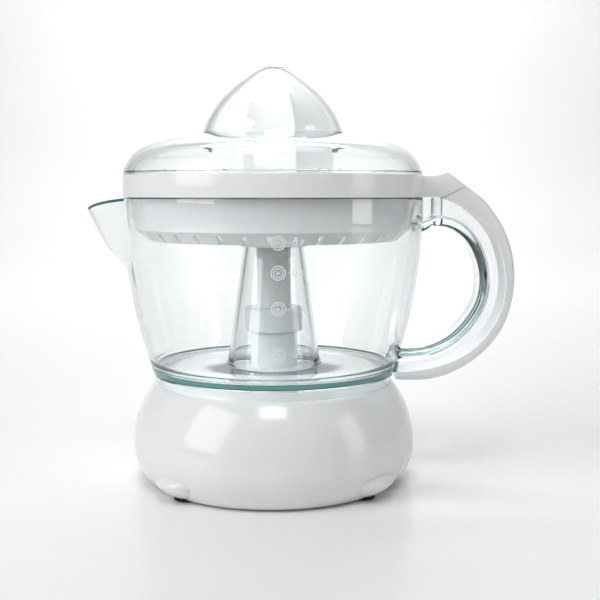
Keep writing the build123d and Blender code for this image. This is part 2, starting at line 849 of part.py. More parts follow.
with BuildPart() as gearbox_cover:
    with BuildSketch(Plane.XY.offset(cover_plate_height)):
        with BuildSketch(mode=Mode.PRIVATE) as outline:
            Circle(gear_hub_radius + 3)
            with Locations(axis_spots):
                Circle(pin_radius + 3)
            with Locations(post_spots):
                Circle(post_radius + 0.6)
        add(make_hull(outline.sketch.edges(), mode=Mode.PRIVATE))
    extrude(amount=cover_plate_thickness)
    with BuildSketch(Plane.XY.offset(plate_top)):
        with Locations(post_spots):
            Circle(post_radius)
    extrude(amount=cover_plate_height - plate_top)
    hub_bore_top = cover_plate_height + 5
    add(ring(gear_hub_radius + running, 0, cover_plate_height - 1, hub_bore_top), mode=Mode.SUBTRACT)
    with BuildSketch(Plane.XY.offset(cover_plate_height)):
        with Locations(axis_spots):
            Circle(pin_radius)
    extrude(amount=cover_plate_thickness, mode=Mode.SUBTRACT)
gearbox_cover.part.label = "gearbox_cover"
export_step(gearbox_cover.part, "parts/gearbox_cover.step")

with BuildPart() as gear_pins:
    with BuildSketch(Plane.XY.offset(plate_height)):
        with Locations(axis_spots):
            Circle(pin_radius)
    extrude(amount=cover_plate_height + cover_plate_thickness - plate_height)
gear_pins.part.label = "gear_pins"
export_step(gear_pins.part, "parts/gear_pins.step")

towards_second = bearing(Vector(0, 0), second_axis)
towards_first = bearing(second_axis, first_axis)
towards_rotor = bearing(first_axis, rotor_axis)

with BuildPart() as output_gear:
    with BuildSketch(Plane.XY.offset(output_level)):
        Polygon(*gear_outline(output_module, output_teeth, towards_second), align=None)
    extrude(amount=gear_top - output_level)
    add(ring(gear_hub_radius, 0, plate_height, gear_hub_top))
    with BuildSketch(Plane.XY.offset(plate_height - 1)):
        RegularPolygon(hub_hole_flats / 2, 6, major_radius=False)
    extrude(amount=gear_hub_top - plate_height + 2, mode=Mode.SUBTRACT)
output_gear.part.label = "output_gear"
export_step(output_gear.part, "parts/output_gear.step")

with BuildPart() as second_gear:
    with BuildSketch(above(second_axis, second_level)):
        Polygon(*gear_outline(middle_module, second_wheel_teeth, towards_first), align=None)
    extrude(amount=output_level - 1 - second_level)
    with BuildSketch(above(second_axis, output_level - 1)):
        facing = gap_facing(towards_second + 180, second_pinion_teeth)
        Polygon(*gear_outline(output_module, second_pinion_teeth, facing), align=None)
    extrude(amount=gear_top - output_level + 1)
    with BuildSketch(above(second_axis, first_level)):
        Circle(pin_radius + 1.9)
    extrude(amount=second_level - first_level)
    with BuildSketch(above(second_axis, first_level)):
        Circle(pin_radius + running)
    extrude(amount=gear_top - first_level, mode=Mode.SUBTRACT)
second_gear.part.label = "second_gear"
export_step(second_gear.part, "parts/second_gear.step")

with BuildPart() as first_gear:
    with BuildSketch(above(first_axis, first_level)):
        Polygon(*gear_outline(motor_module, first_wheel_teeth, towards_rotor), align=None)
    extrude(amount=second_level - 1 - first_level)
    with BuildSketch(above(first_axis, second_level - 1)):
        facing = gap_facing(towards_first + 180, first_pinion_teeth)
        Polygon(*gear_outline(middle_module, first_pinion_teeth, facing), align=None)
    extrude(amount=output_level - second_level + 0.2)
    with BuildSketch(above(first_axis, first_level)):
        Circle(pin_radius + running)
    extrude(amount=output_level - first_level, mode=Mode.SUBTRACT)
first_gear.part.label = "first_gear"
export_step(first_gear.part, "parts/first_gear.step")

# ---- motor --------------------------------------------------------------------------------------

bracket_height = stack_height - 4.0
bracket_thickness = 1.6
stack_top = stack_height + stack_thickness
window_half = 7.5
stack_half = window_half + leg_width
leg_offset = window_half + leg_width / 2
coil_start = bore_radius + 5.3
window_start = bore_radius + 1.8
pole_reach = bore_radius + 4.3

with BuildPart() as rotor_shaft:
    with BuildSketch(Plane.XY.offset(bracket_height + 0.2)):
        with Locations([rotor_spot]):
            Circle(pin_radius)
    extrude(amount=second_level - bracket_height - 0.2)
rotor_shaft.part.label = "rotor_shaft"
export_step(rotor_shaft.part, "parts/rotor_shaft.step")

with BuildPart() as rotor_magnet:
    with BuildSketch(Plane.XY.offset(stack_height - 0.5)):
        with Locations([rotor_spot]):
            Circle(magnet_radius)
            Circle(pin_radius, mode=Mode.SUBTRACT)
    extrude(amount=stack_thickness + 1)
rotor_magnet.part.label = "rotor_magnet"
export_step(rotor_magnet.part, "parts/rotor_magnet.step")

with BuildPart() as rotor_pinion:
    with BuildSketch(above(rotor_axis, first_level - 0.2)):
        facing = gap_facing(towards_rotor + 180, motor_pinion_teeth)
        Polygon(*gear_outline(motor_module, motor_pinion_teeth, facing), align=None)
        Circle(pin_radius, mode=Mode.SUBTRACT)
    extrude(amount=second_level - first_level)
rotor_pinion.part.label = "rotor_pinion"
export_step(rotor_pinion.part, "parts/rotor_pinion.step")

with BuildPart() as rotor_bushes:
    for low, high, radius in (
        (bracket_height, bracket_height + 2.4, pin_radius + 1.6),
        (plate_height - 2, plate_top, pin_radius + 2),
    ):
        with BuildSketch(Plane.XY.offset(low)):
            with Locations([rotor_spot]):
                Circle(radius)
                Circle(pin_radius + running, mode=Mode.SUBTRACT)
        extrude(amount=high - low)
rotor_bushes.part.label = "rotor_bushes"
export_step(rotor_bushes.part, "parts/rotor_bushes.step")

with BuildPart() as stator_core:
    with BuildSketch(Plane.XY.offset(stack_height)):
        with Locations((rotor_axis.X + (yoke_reach - pole_reach) / 2, rotor_axis.Y)):
            Rectangle(yoke_reach + pole_reach, 2 * stack_half)
        with Locations((rotor_axis.X + (window_start + yoke_reach - leg_width) / 2, rotor_axis.Y)):
            Rectangle(yoke_reach - leg_width - window_start, 2 * window_half, mode=Mode.SUBTRACT)
        with Locations([rotor_spot]):
            Circle(bore_radius, mode=Mode.SUBTRACT)
            Rectangle(4 * bore_radius - 2.8, 3, mode=Mode.SUBTRACT)
        with Locations(motor_screw_spots):
            Circle(screw_radius, mode=Mode.SUBTRACT)
    extrude(amount=stack_thickness)
stator_core.part.label = "stator_core"
export_step(stator_core.part, "parts/stator_core.step")

bobbin_wall = 1.0
leg_spots = [(rotor_axis.Y + side * leg_offset, stack_height + stack_thickness / 2) for side in (-1, 1)]
coil_plane = Plane.YZ.offset(rotor_axis.X + coil_start)

with BuildPart() as coil_bobbins:
    with BuildSketch(coil_plane):
        with Locations(leg_spots):
            Rectangle(leg_width + 2 * bobbin_wall, stack_thickness + 2 * bobbin_wall)
    extrude(amount=coil_length)
    for end in (0, coil_length - bobbin_wall):
        with BuildSketch(coil_plane.offset(end)):
            with Locations(leg_spots):
                Rectangle(
                    leg_width + 2 * (bobbin_wall + winding_thickness),
                    stack_thickness + 2 * (bobbin_wall + winding_thickness),
                )
        extrude(amount=bobbin_wall)
    with BuildSketch(coil_plane):
        with Locations(leg_spots):
            Rectangle(leg_width, stack_thickness)
    extrude(amount=coil_length, mode=Mode.SUBTRACT)
coil_bobbins.part.label = "coil_bobbins"
export_step(coil_bobbins.part, "parts/coil_bobbins.step")

with BuildPart() as coil_windings:
    with BuildSketch(coil_plane.offset(bobbin_wall)):
        with Locations(leg_spots):
            outer_width = leg_width + 2 * (bobbin_wall + winding_thickness) - 0.6
            outer_height = stack_thickness + 2 * (bobbin_wall + winding_thickness) - 0.6
            RectangleRounded(outer_width, outer_height, 2)
            inner_width = leg_width + 2 * bobbin_wall
            Rectangle(inner_width, stack_thickness + 2 * bobbin_wall, mode=Mode.SUBTRACT)
    extrude(amount=coil_length - 2 * bobbin_wall)
coil_windings.part.label = "coil_windings"
export_step(coil_windings.part, "parts/coil_windings.step")

with BuildPart() as motor_bracket:
    with BuildSketch(Plane.XY.offset(bracket_height)):
        with Locations([rotor_spot]):
            SlotCenterToCenter(2 * motor_screw_offset, 9, rotation=90)
    extrude(amount=bracket_thickness)
    with BuildSketch(Plane.XY.offset(bracket_height + bracket_thickness)):
        with Locations(motor_screw_spots):
            Circle(screw_radius + 1.3)
    extrude(amount=stack_height - bracket_height - bracket_thickness)
    with BuildSketch(Plane.XY.offset(bracket_height)):
        with Locations(motor_screw_spots):
            Circle(screw_radius)
        with Locations([rotor_spot]):
            Circle(pin_radius + 1.6)
    extrude(amount=6, mode=Mode.SUBTRACT)
motor_bracket.part.label = "motor_bracket"
export_step(motor_bracket.part, "parts/motor_bracket.step")

screw_group("motor_screws", motor_screw_spots, bracket_height, plate_height - bracket_height, 1.5)

# ---- switch -------------------------------------------------------------------------------------

switch_top = plunger_top - 3.8

with BuildPart() as switch_lever:
    with BuildSketch(Plane.YZ.offset(-3)):
        with Locations((lever_pivot_y, lever_height)):
            Circle(2.7)
        with Locations((lever_pivot_y / 2 - 2.5, lever_height)):
            Rectangle(lever_pivot_y + 5, lever_thickness)
        with Locations((lever_pivot_y, lever_height)):
            Circle(pin_radius + running, mode=Mode.SUBTRACT)
    extrude(amount=6)
switch_lever.part.label = "switch_lever"
export_step(switch_lever.part, "parts/switch_lever.step")

with BuildPart() as lever_pin:
    with BuildSketch(Plane.YZ.offset(-6.75)):
        with Locations((lever_pivot_y, lever_height)):
            Circle(pin_radius)
    extrude(amount=13.5)
lever_pin.part.label = "lever_pin"
export_step(lever_pin.part, "parts/lever_pin.step")

with BuildPart() as switch_body:
    with BuildSketch(Plane.XY.offset(bottom_top)):
        with Locations((0, plunger_y - 3)):
            Rectangle(6.5, 18)
    extrude(amount=switch_top - bottom_top)
    with BuildSketch(Plane.XY.offset(bottom_top + 1)):
        with Locations((0, plunger_y)):
            Circle(plunger_radius + running)
    extrude(amount=switch_top - bottom_top, mode=Mode.SUBTRACT)
switch_body.part.label = "switch_body"
export_step(switch_body.part, "parts/switch_body.step")

with BuildPart() as switch_plunger:
    with BuildSketch(Plane.XY.offset(bottom_top + 3.2)):
        with Locations((0, plunger_y)):
            Circle(plunger_radius)
    extrude(amount=plunger_top - bottom_top - 3.2)
switch_plunger.part.label = "switch_plunger"
export_step(switch_plunger.part, "parts/switch_plunger.step")

terminal_place = (34, 14)
terminal_length = 18
terminal_width = 12
terminal_height = 8
terminal_pitch = 8
terminal_radius = 2.2

with BuildPart() as terminal_block:
    with BuildSketch(Plane.XY.offset(bottom_top)):
        with Locations(terminal_place):
            Rectangle(terminal_length, terminal_width)
    extrude(amount=terminal_height)
    with BuildSketch(Plane.XY.offset(bottom_top + 3)):
        with Locations(terminal_place):
            with GridLocations(terminal_pitch, 0, 2, 1):
                Circle(terminal_radius)
    extrude(amount=terminal_height, mode=Mode.SUBTRACT)
terminal_block.part.label = "terminal_block"
export_step(terminal_block.part, "parts/terminal_block.step")

with BuildPart() as terminal_screws:
    with BuildSketch(Plane.XY.offset(bottom_top + 3)):
        with Locations(terminal_place):
            with GridLocations(terminal_pitch, 0, 2, 1):
                Circle(terminal_radius - 0.2)
    extrude(amount=terminal_height / 2 - 1)
terminal_screws.part.label = "terminal_screws"
export_step(terminal_screws.part, "parts/terminal_screws.step")
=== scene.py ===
"""Citrus press: gloss white shells, a clear jug and dust cover, rubber feet and the works in the base.

Sizes are in millimetres until a mesh is made. The frame is the CAD model's own: +Z up along the spindle, the
spout at -X, the handle at +X, and the origin where the spindle's axis meets the surface that the feet stand on.
"""

import math

import bmesh
import bpy
from mathutils import Matrix, Vector


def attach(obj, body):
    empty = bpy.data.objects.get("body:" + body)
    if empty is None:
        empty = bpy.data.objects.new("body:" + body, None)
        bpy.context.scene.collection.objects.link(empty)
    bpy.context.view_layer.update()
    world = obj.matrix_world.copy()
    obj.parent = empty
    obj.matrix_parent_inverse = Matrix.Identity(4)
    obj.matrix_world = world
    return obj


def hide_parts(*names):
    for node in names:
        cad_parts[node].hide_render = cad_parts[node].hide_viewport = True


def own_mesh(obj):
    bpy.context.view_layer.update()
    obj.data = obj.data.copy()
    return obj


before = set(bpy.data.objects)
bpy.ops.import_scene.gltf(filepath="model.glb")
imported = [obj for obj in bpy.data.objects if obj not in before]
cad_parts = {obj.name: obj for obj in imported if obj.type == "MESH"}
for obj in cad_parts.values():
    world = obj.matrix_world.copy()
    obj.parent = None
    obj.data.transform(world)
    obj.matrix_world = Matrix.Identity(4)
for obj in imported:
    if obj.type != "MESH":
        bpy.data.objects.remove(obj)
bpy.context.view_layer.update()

MM = 0.001
TURN = 2 * math.pi
MATH = "ShaderNodeMath"

# ---- sizes of the pieces ----

RIM_RADIUS = 75.0
RIM_HEIGHT = 143.0
WALL = 2.4
FLOOR_RADIUS = 62.2
FLOOR_HEIGHT = 58.4
FLOOR_THICKNESS = 2.1
SKIRT_RADIUS = 59.5
SKIRT_HEIGHT = 50.2
WALL_BULGE = 3.6
HANDLE_HALF = 11.0
HANDLE_WALL = 2.2
FINGER_WALL = 4.4
BELLY_RADIUS = 71.75
BELLY_HEIGHT = 19.4
BASE_BOTTOM = 1.0
BASE_BOTTOM_RADIUS = 63.0
SHAFT_RADIUS = 8.75


# ---- nodes and materials ----

FLOW_WIDTH = 45.0
WAVE_WIDTH, WAVE_HEIGHT = 30.0, 0.02
# A wave texture turns once in this many units of its scaled coordinate
WAVES_PER_TURN = 20


def linear(colour):
    """An sRGB hex colour as linear red, green, blue and alpha."""
    parts = [int(colour[i:i + 2], 16) / 255 for i in (1, 3, 5)]
    return tuple(p / 12.92 if p <= 0.04045 else ((p + 0.055) / 1.055) ** 2.4 for p in parts) + (1.0,)


def add_node(tree, kind, settings=None, **inputs):
    """A node with its settings and its inputs, by name or _number: a node or socket is linked, a value is set."""
    node = tree.nodes.new(kind)
    for name, value in (settings or {}).items():
        setattr(node, name, value)
    for name, value in inputs.items():
        key = int(name[1:]) if name[0] == "_" else name.replace("_", " ")
        if isinstance(value, bpy.types.Node):
            value = value.outputs[0]
        if isinstance(value, bpy.types.NodeSocket):
            tree.links.new(value, node.inputs[key])
        else:
            node.inputs[key].default_value = value
    return node


def new_material(name):
    """An empty node material: the material, its tree, and Object coordinates in metres."""
    material = bpy.data.materials.new(name)
    material.use_nodes = True
    tree = material.node_tree
    tree.nodes.clear()
    place = add_node(tree, "ShaderNodeTexCoord").outputs["Object"]
    return material, tree, place


def finish_material(tree, shader, volume=None):
    output = add_node(tree, "ShaderNodeOutputMaterial", Surface=shader)
    if volume:
        tree.links.new(volume.outputs[0], output.inputs["Volume"])


def tinted(tree, pattern, low, high, start, end):
    """The colour of a pattern: the low colour up to the start value, and the high colour from the end value."""
    share = add_node(tree, "ShaderNodeMapRange", Value=pattern, From_Min=start, From_Max=end)
    mixed = add_node(tree, "ShaderNodeMix", {"data_type": "RGBA"}, _0=share, _6=linear(low), _7=linear(high))
    return mixed.outputs[2]


def moulded_plastic(name, colour, shade, roughness, grain_mm, grain_height_mm, glow=0.0, ior=1.53):
    """Injection-moulded plastic: its colour drifts a little with the melt's flow, and its skin keeps the finish
    of the tool. grain_mm is the width of the tool's texture, at least 0.4 mm so that it shows.
    """
    material, tree, place = new_material(name)
    flow = add_node(tree, "ShaderNodeTexNoise", Vector=place, Scale=1 / (FLOW_WIDTH * MM), Detail=2.0)
    grain = add_node(tree, "ShaderNodeTexNoise", Vector=place, Scale=1 / (grain_mm * MM), Detail=3.0)
    gloss = add_node(tree, "ShaderNodeMapRange", Value=grain, To_Min=0.8 * roughness, To_Max=1.25 * roughness)
    bump = add_node(tree, "ShaderNodeBump", Height=grain, Distance=grain_height_mm * MM, Strength=1.0)
    shader = add_node(tree, "ShaderNodeBsdfPrincipled", Base_Color=tinted(tree, flow, shade, colour, 0.25, 0.6),
                      Roughness=gloss, IOR=ior, Subsurface_Weight=glow, Subsurface_Scale=0.002, Normal=bump)
    finish_material(tree, shader)
    return material


def clear_plastic(name, red_loss, green_loss, blue_loss):
    """Styrene-acrylonitrile, as clear as glass. The losses per metre tint it blue-green where light runs along a
    wall. The wall is wavy by hundredths of a millimetre, as a moulded wall is. Lamps shine through it.
    """
    material, tree, place = new_material(name)
    waves = add_node(tree, "ShaderNodeTexNoise", Vector=place, Scale=1 / (WAVE_WIDTH * MM), Detail=1.0)
    bump = add_node(tree, "ShaderNodeBump", Height=waves, Distance=WAVE_HEIGHT * MM, Strength=1.0)
    glass = add_node(tree, "ShaderNodeBsdfPrincipled", Base_Color=(1, 1, 1, 1), Roughness=0.015, IOR=1.57,
                     Transmission_Weight=1.0, Normal=bump)
    lamp = add_node(tree, "ShaderNodeLightPath")
    through = add_node(tree, "ShaderNodeBsdfTransparent", Color=linear("#FAFCFC"))
    surface = add_node(tree, "ShaderNodeMixShader", Fac=lamp.outputs["Is Shadow Ray"], _1=glass, _2=through)
    density = max(red_loss, green_loss, blue_loss) * 1.25
    kept = tuple(1 - loss / density for loss in (red_loss, green_loss, blue_loss)) + (1.0,)
    volume = add_node(tree, "ShaderNodeVolumeAbsorption", Color=kept, Density=density)
    finish_material(tree, surface, volume)
    return material


def worked_metal(name, colour, dark, roughness, line_mm, stretch, bump_mm):
    """Metal with tool marks: lines line_mm wide, drawn out along the axis where stretch is small."""
    material, tree, place = new_material(name)
    drawn = add_node(tree, "ShaderNodeMapping", Vector=place, Scale=stretch)
    lines = add_node(tree, "ShaderNodeTexNoise", Vector=drawn, Scale=1 / (line_mm * MM), Detail=4.0)
    gloss = add_node(tree, "ShaderNodeMapRange", Value=lines, To_Min=0.75 * roughness, To_Max=1.3 * roughness)
    bump = add_node(tree, "ShaderNodeBump", Height=lines, Distance=bump_mm * MM, Strength=0.6)
    shader = add_node(tree, "ShaderNodeBsdfPrincipled", Base_Color=tinted(tree, lines, dark, colour, 0.3, 0.65),
                      Metallic=1.0, Roughness=gloss, Normal=bump)
    finish_material(tree, shader)
    return material


def layered(name, colour, gap, pitch_mm, direction, roughness, metallic, depth_mm):
    """Stacked sheets or wound wire: one dark line for each pitch_mm along the direction."""
    material, tree, place = new_material(name)
    along = {"wave_type": "BANDS", "bands_direction": direction}
    bands = add_node(tree, "ShaderNodeTexWave", along, Vector=place,
                     Scale=TURN / (WAVES_PER_TURN * pitch_mm * MM), Distortion=0.3)
    height = bands.outputs["Fac"]
    bump = add_node(tree, "ShaderNodeBump", Height=height, Distance=depth_mm * MM, Strength=1.0)
    tint = tinted(tree, height, gap, colour, 0.05, 0.45)
    shader = add_node(tree, "ShaderNodeBsdfPrincipled", Base_Color=tint, Metallic=metallic, Roughness=roughness,
                      Normal=bump)
    finish_material(tree, shader)
    return material


# Gloss ABS: a polished tool leaves it almost mirror smooth, so lamps show as soft-edged patches
gloss_abs = moulded_plastic("gloss_white_abs", "#F3F3F3", "#F0F0F1", 0.14, 1.2, 0.0015, glow=0.08)
# Satin ABS underneath, spark-eroded so that it hides scratches
satin_abs = moulded_plastic("spark_eroded_white_abs", "#DCDDDD", "#D5D6D6", 0.5, 0.4, 0.02)
# Acetal is milky: light goes a little way in, and cut faces look waxy
acetal = moulded_plastic("natural_acetal", "#ECEAE0", "#E2DFD2", 0.35, 0.6, 0.004, glow=0.3, ior=1.48)
red_acetal = moulded_plastic("red_acetal", "#B3261C", "#A01F17", 0.35, 0.6, 0.004, ior=1.48)
black_nylon = moulded_plastic("black_glass_filled_nylon", "#262728", "#1B1C1D", 0.45, 0.5, 0.01)
terminal_nylon = moulded_plastic("natural_nylon", "#DDD9CB", "#D2CDBC", 0.4, 0.6, 0.006, glow=0.15)
# Rubber scatters light from a dusty, grainy skin, so it never shows a lamp
foot_rubber = moulded_plastic("black_nitrile_rubber", "#1A1A1B", "#111112", 0.75, 0.5, 0.03, ior=1.52)
gland_rubber = moulded_plastic("white_pvc_gland", "#E6E6E4", "#DFDFDD", 0.5, 0.5, 0.01)
clear_san = clear_plastic("clear_san", 7.0, 1.6, 1.2)
# Where the wall is seen along its length, in the floor's rim and at the lip, its own tint adds up to teal along the
# light's long path. These two opaque materials paint that on: painted teal light on the floor's rim, and painted dark
# teal shade on the lip.
floor_rim_painted_light = moulded_plastic("floor_rim_painted_light", "#62A3A4", "#4C8C8F", 0.06, 2.0, 0.001, ior=1.57)
lip_painted_shade = moulded_plastic("painted_lip_shade_san", "#35666E", "#1E3C46", 0.08, 2.0, 0.001, ior=1.57)
# Raised marks have a fine matt grain that catches the light against the clear wall
frosted_san = moulded_plastic("frosted_san_marks", "#FBFCFC", "#F2F5F5", 0.35, 0.4, 0.004, glow=0.2, ior=1.57)
turned_steel = worked_metal("turned_steel", "#C9CACD", "#9FA1A5", 0.3, 0.4, (1, 1, 6), 0.003)
zinc_steel = worked_metal("zinc_plated_steel", "#C4C8CC", "#A9AEB4", 0.42, 1.5, (1, 1, 1), 0.002)
brass = worked_metal("turned_brass", "#D9BE7A", "#B99B55", 0.3, 0.4, (1, 1, 6), 0.003)
bronze = worked_metal("sintered_bronze", "#A9865A", "#6F5433", 0.6, 0.4, (1, 1, 1), 0.02)
ferrite = moulded_plastic("sintered_ferrite", "#2B2B2E", "#1F1F22", 0.55, 0.5, 0.015, ior=2.2)
laminations = layered("stacked_silicon_steel", "#8D9095", "#3B3D41", 0.5, "Z", 0.4, 1.0, 0.05)
copper_wire = layered("enamelled_copper_wire", "#B9683A", "#5A2A12", 0.4, "X", 0.3, 1.0, 0.1)

# ---- mesh helpers ----


def tidy(mesh, sharp):
    """Closes seams and poles, points faces outwards, and keeps edges sharper than the angle crisp."""
    shape = bmesh.new()
    shape.from_mesh(mesh)
    bmesh.ops.remove_doubles(shape, verts=shape.verts, dist=2e-6)
    bmesh.ops.dissolve_degenerate(shape, edges=shape.edges, dist=1e-7)
    bmesh.ops.recalc_face_normals(shape, faces=shape.faces)
    shape.to_mesh(mesh)
    shape.free()
    mesh.shade_smooth()
    mesh.set_sharp_from_angle(angle=math.radians(sharp))


def solid(name, points, faces, material, sharp=32):
    """A closed piece from points in millimetres."""
    mesh = bpy.data.meshes.new(name)
    mesh.from_pydata([[c * MM for c in p] for p in points], [], faces)
    tidy(mesh, sharp)
    mesh.materials.append(material)
    piece = bpy.data.objects.new(name, mesh)
    bpy.context.scene.collection.objects.link(piece)
    return piece


def skin(rows, joined=True, capped=False):
    """Points and faces over closed rows. joined runs the last row back to the first; capped closes both ends."""
    count = len(rows[0])
    points = [point for row in rows for point in row]
    faces = []
    last = len(rows) if joined else len(rows) - 1
    for i in range(last):
        low, high = i * count, (i + 1) % len(rows) * count
        faces += [(low + j, low + (j + 1) % count, high + (j + 1) % count, high + j) for j in range(count)]
    if capped:
        faces += [tuple(range(count)), tuple(range(len(points) - count, len(points)))]
    return points, faces


def lathe(outline, steps, joined=True):
    """Points and faces of an outline of (radius, height) turned about the Z axis."""
    rows = [[(r * math.cos(TURN * j / steps), r * math.sin(TURN * j / steps), z) for j in range(steps)]
            for r, z in outline]
    return skin(rows, joined)


def smooth_line(keys, steps):
    """Points on a smooth line through the keys."""
    ends = [tuple(2 * a - b for a, b in zip(keys[0], keys[1]))] + list(keys)
    ends.append(tuple(2 * a - b for a, b in zip(keys[-1], keys[-2])))
    line = []
    for i in range(1, len(ends) - 2):
        for k in range(steps):
            t = k / steps
            weights = ((-t + 2 * t ** 2 - t ** 3) / 2, (2 - 5 * t ** 2 + 3 * t ** 3) / 2,
                       (t + 4 * t ** 2 - 3 * t ** 3) / 2, (t ** 3 - t ** 2) / 2)
            near = ends[i - 1:i + 3]
            line.append(tuple(sum(w * p[c] for w, p in zip(weights, near)) for c in range(len(keys[0]))))
    return line + [tuple(keys[-1])]


def rounded(corners, steps=4):
    """A closed outline from (x, y, radius) corners, each rounded by its radius."""
    outline = []
    for i, (x, y, radius) in enumerate(corners):
        here = Vector((x, y))
        before = (Vector(corners[i - 1][:2]) - here)
        after = (Vector(corners[(i + 1) % len(corners)][:2]) - here)
        if radius <= 0 or before.length < 1e-6 or after.length < 1e-6:
            outline.append((x, y))
            continue
        before.normalize()
        after.normalize()
        half = before.angle(after) / 2
        reach = radius / math.tan(half)
        centre = here + (before + after).normalized() * (radius / math.sin(half))
        start, end = here + before * reach - centre, here + after * reach - centre
        total = start.angle_signed(end)
        for k in range(steps + 1):
            turned = start.copy()
            turned.rotate(Matrix.Rotation(-total * k / steps, 2))
            outline.append(tuple(centre + turned))
    return outline


def offset_line(line, distance):
    """An open line moved to its right-hand side by the distance."""
    moved = []
    for i, point in enumerate(line):
        ahead = Vector(line[min(i + 1, len(line) - 1)]) - Vector(line[max(i - 1, 0)])
        side = Vector((ahead.y, -ahead.x)).normalized()
        moved.append(tuple(Vector(point) + side * distance))
    return moved


def join(pieces, name):
    """One piece from several, with the first one's material."""
    merged = bmesh.new()
    for piece in pieces:
        merged.from_mesh(piece.data)
    mesh = bpy.data.meshes.new(name)
    merged.to_mesh(mesh)
    merged.free()
    mesh.materials.append(pieces[0].data.materials[0])
    for piece in pieces:
        bpy.data.objects.remove(piece)
    result = bpy.data.objects.new(name, mesh)
    bpy.context.scene.collection.objects.link(result)
    return result


def combine(piece, other, operation, sharp=32):
    """Unites another closed piece with this one, or cuts it away, and removes the other."""
    modifier = piece.modifiers.new("combine", "BOOLEAN")
    modifier.operation = operation
    modifier.object = other
    modifier.solver = "EXACT"
    bpy.context.view_layer.update()
    made = bpy.data.meshes.new_from_object(piece.evaluated_get(bpy.context.evaluated_depsgraph_get()))
    piece.modifiers.clear()
    piece.data = made
    bpy.data.objects.remove(other)
    tidy(piece.data, sharp)
    return piece


def settle(piece, body, *nodes, slot=None):
    """The piece rides on a body and stands for CAD nodes, which it hides. Its slot is not used."""
    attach(piece, body)
    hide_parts(*nodes)
    return piece


# ---- Geometry Nodes: what repeats round the axis, and the ribbed cone ----


def node_group(name, sockets):
    """A geometry node group with named inputs, each (name, socket type, default)."""
    tree = bpy.data.node_groups.new(name, "GeometryNodeTree")
    tree.interface.new_socket("Geometry", in_out="INPUT", socket_type="NodeSocketGeometry")
    tree.interface.new_socket("Geometry", in_out="OUTPUT", socket_type="NodeSocketGeometry")
    for label, kind, default in sockets:
        socket = tree.interface.new_socket(label, in_out="INPUT", socket_type=kind)
        if default is not None:
            socket.default_value = default
    return tree


def grow(name, start, tree, material, sharp=32, **values):
    """Runs a node group on a start mesh with its inputs set, and returns the plain mesh it makes as a piece."""
    source = bpy.data.objects.new(name, start)
    bpy.context.scene.collection.objects.link(source)
    modifier = source.modifiers.new(name, "NODES")
    modifier.node_group = tree
    names = {item.name: item.identifier for item in tree.interface.items_tree if item.in_out == "INPUT"}
    for label, value in values.items():
        modifier[names[label.replace("_", " ")]] = value
    modifier[names["Material"]] = material
    bpy.context.view_layer.update()
    made = bpy.data.meshes.new_from_object(source.evaluated_get(bpy.context.evaluated_depsgraph_get()))
    source.modifiers.remove(modifier)
    source.data = made
    tidy(made, sharp)
    return source


def round_the_axis():
    """Copies of one part, evenly round the Z axis."""
    tree = node_group("copies_round_the_axis", [
        ("Copies", "NodeSocketInt", 4),
        ("Material", "NodeSocketMaterial", None),
    ])
    given = add_node(tree, "NodeGroupInput").outputs
    number = add_node(tree, "GeometryNodeInputIndex")
    share = add_node(tree, MATH, {"operation": "DIVIDE"}, _0=number, _1=given["Copies"])
    turn = add_node(tree, MATH, {"operation": "MULTIPLY"}, _0=share, _1=TURN)
    angle = add_node(tree, "ShaderNodeCombineXYZ", Z=turn)
    spots = add_node(tree, "GeometryNodePoints", Count=given["Copies"])
    copies = add_node(tree, "GeometryNodeInstanceOnPoints", Points=spots, Instance=given["Geometry"],
                      Rotation=angle)
    real = add_node(tree, "GeometryNodeRealizeInstances", Geometry=copies)
    painted = add_node(tree, "GeometryNodeSetMaterial", Geometry=real, Material=given["Material"])
    add_node(tree, "NodeGroupOutput", Geometry=painted)
    return tree


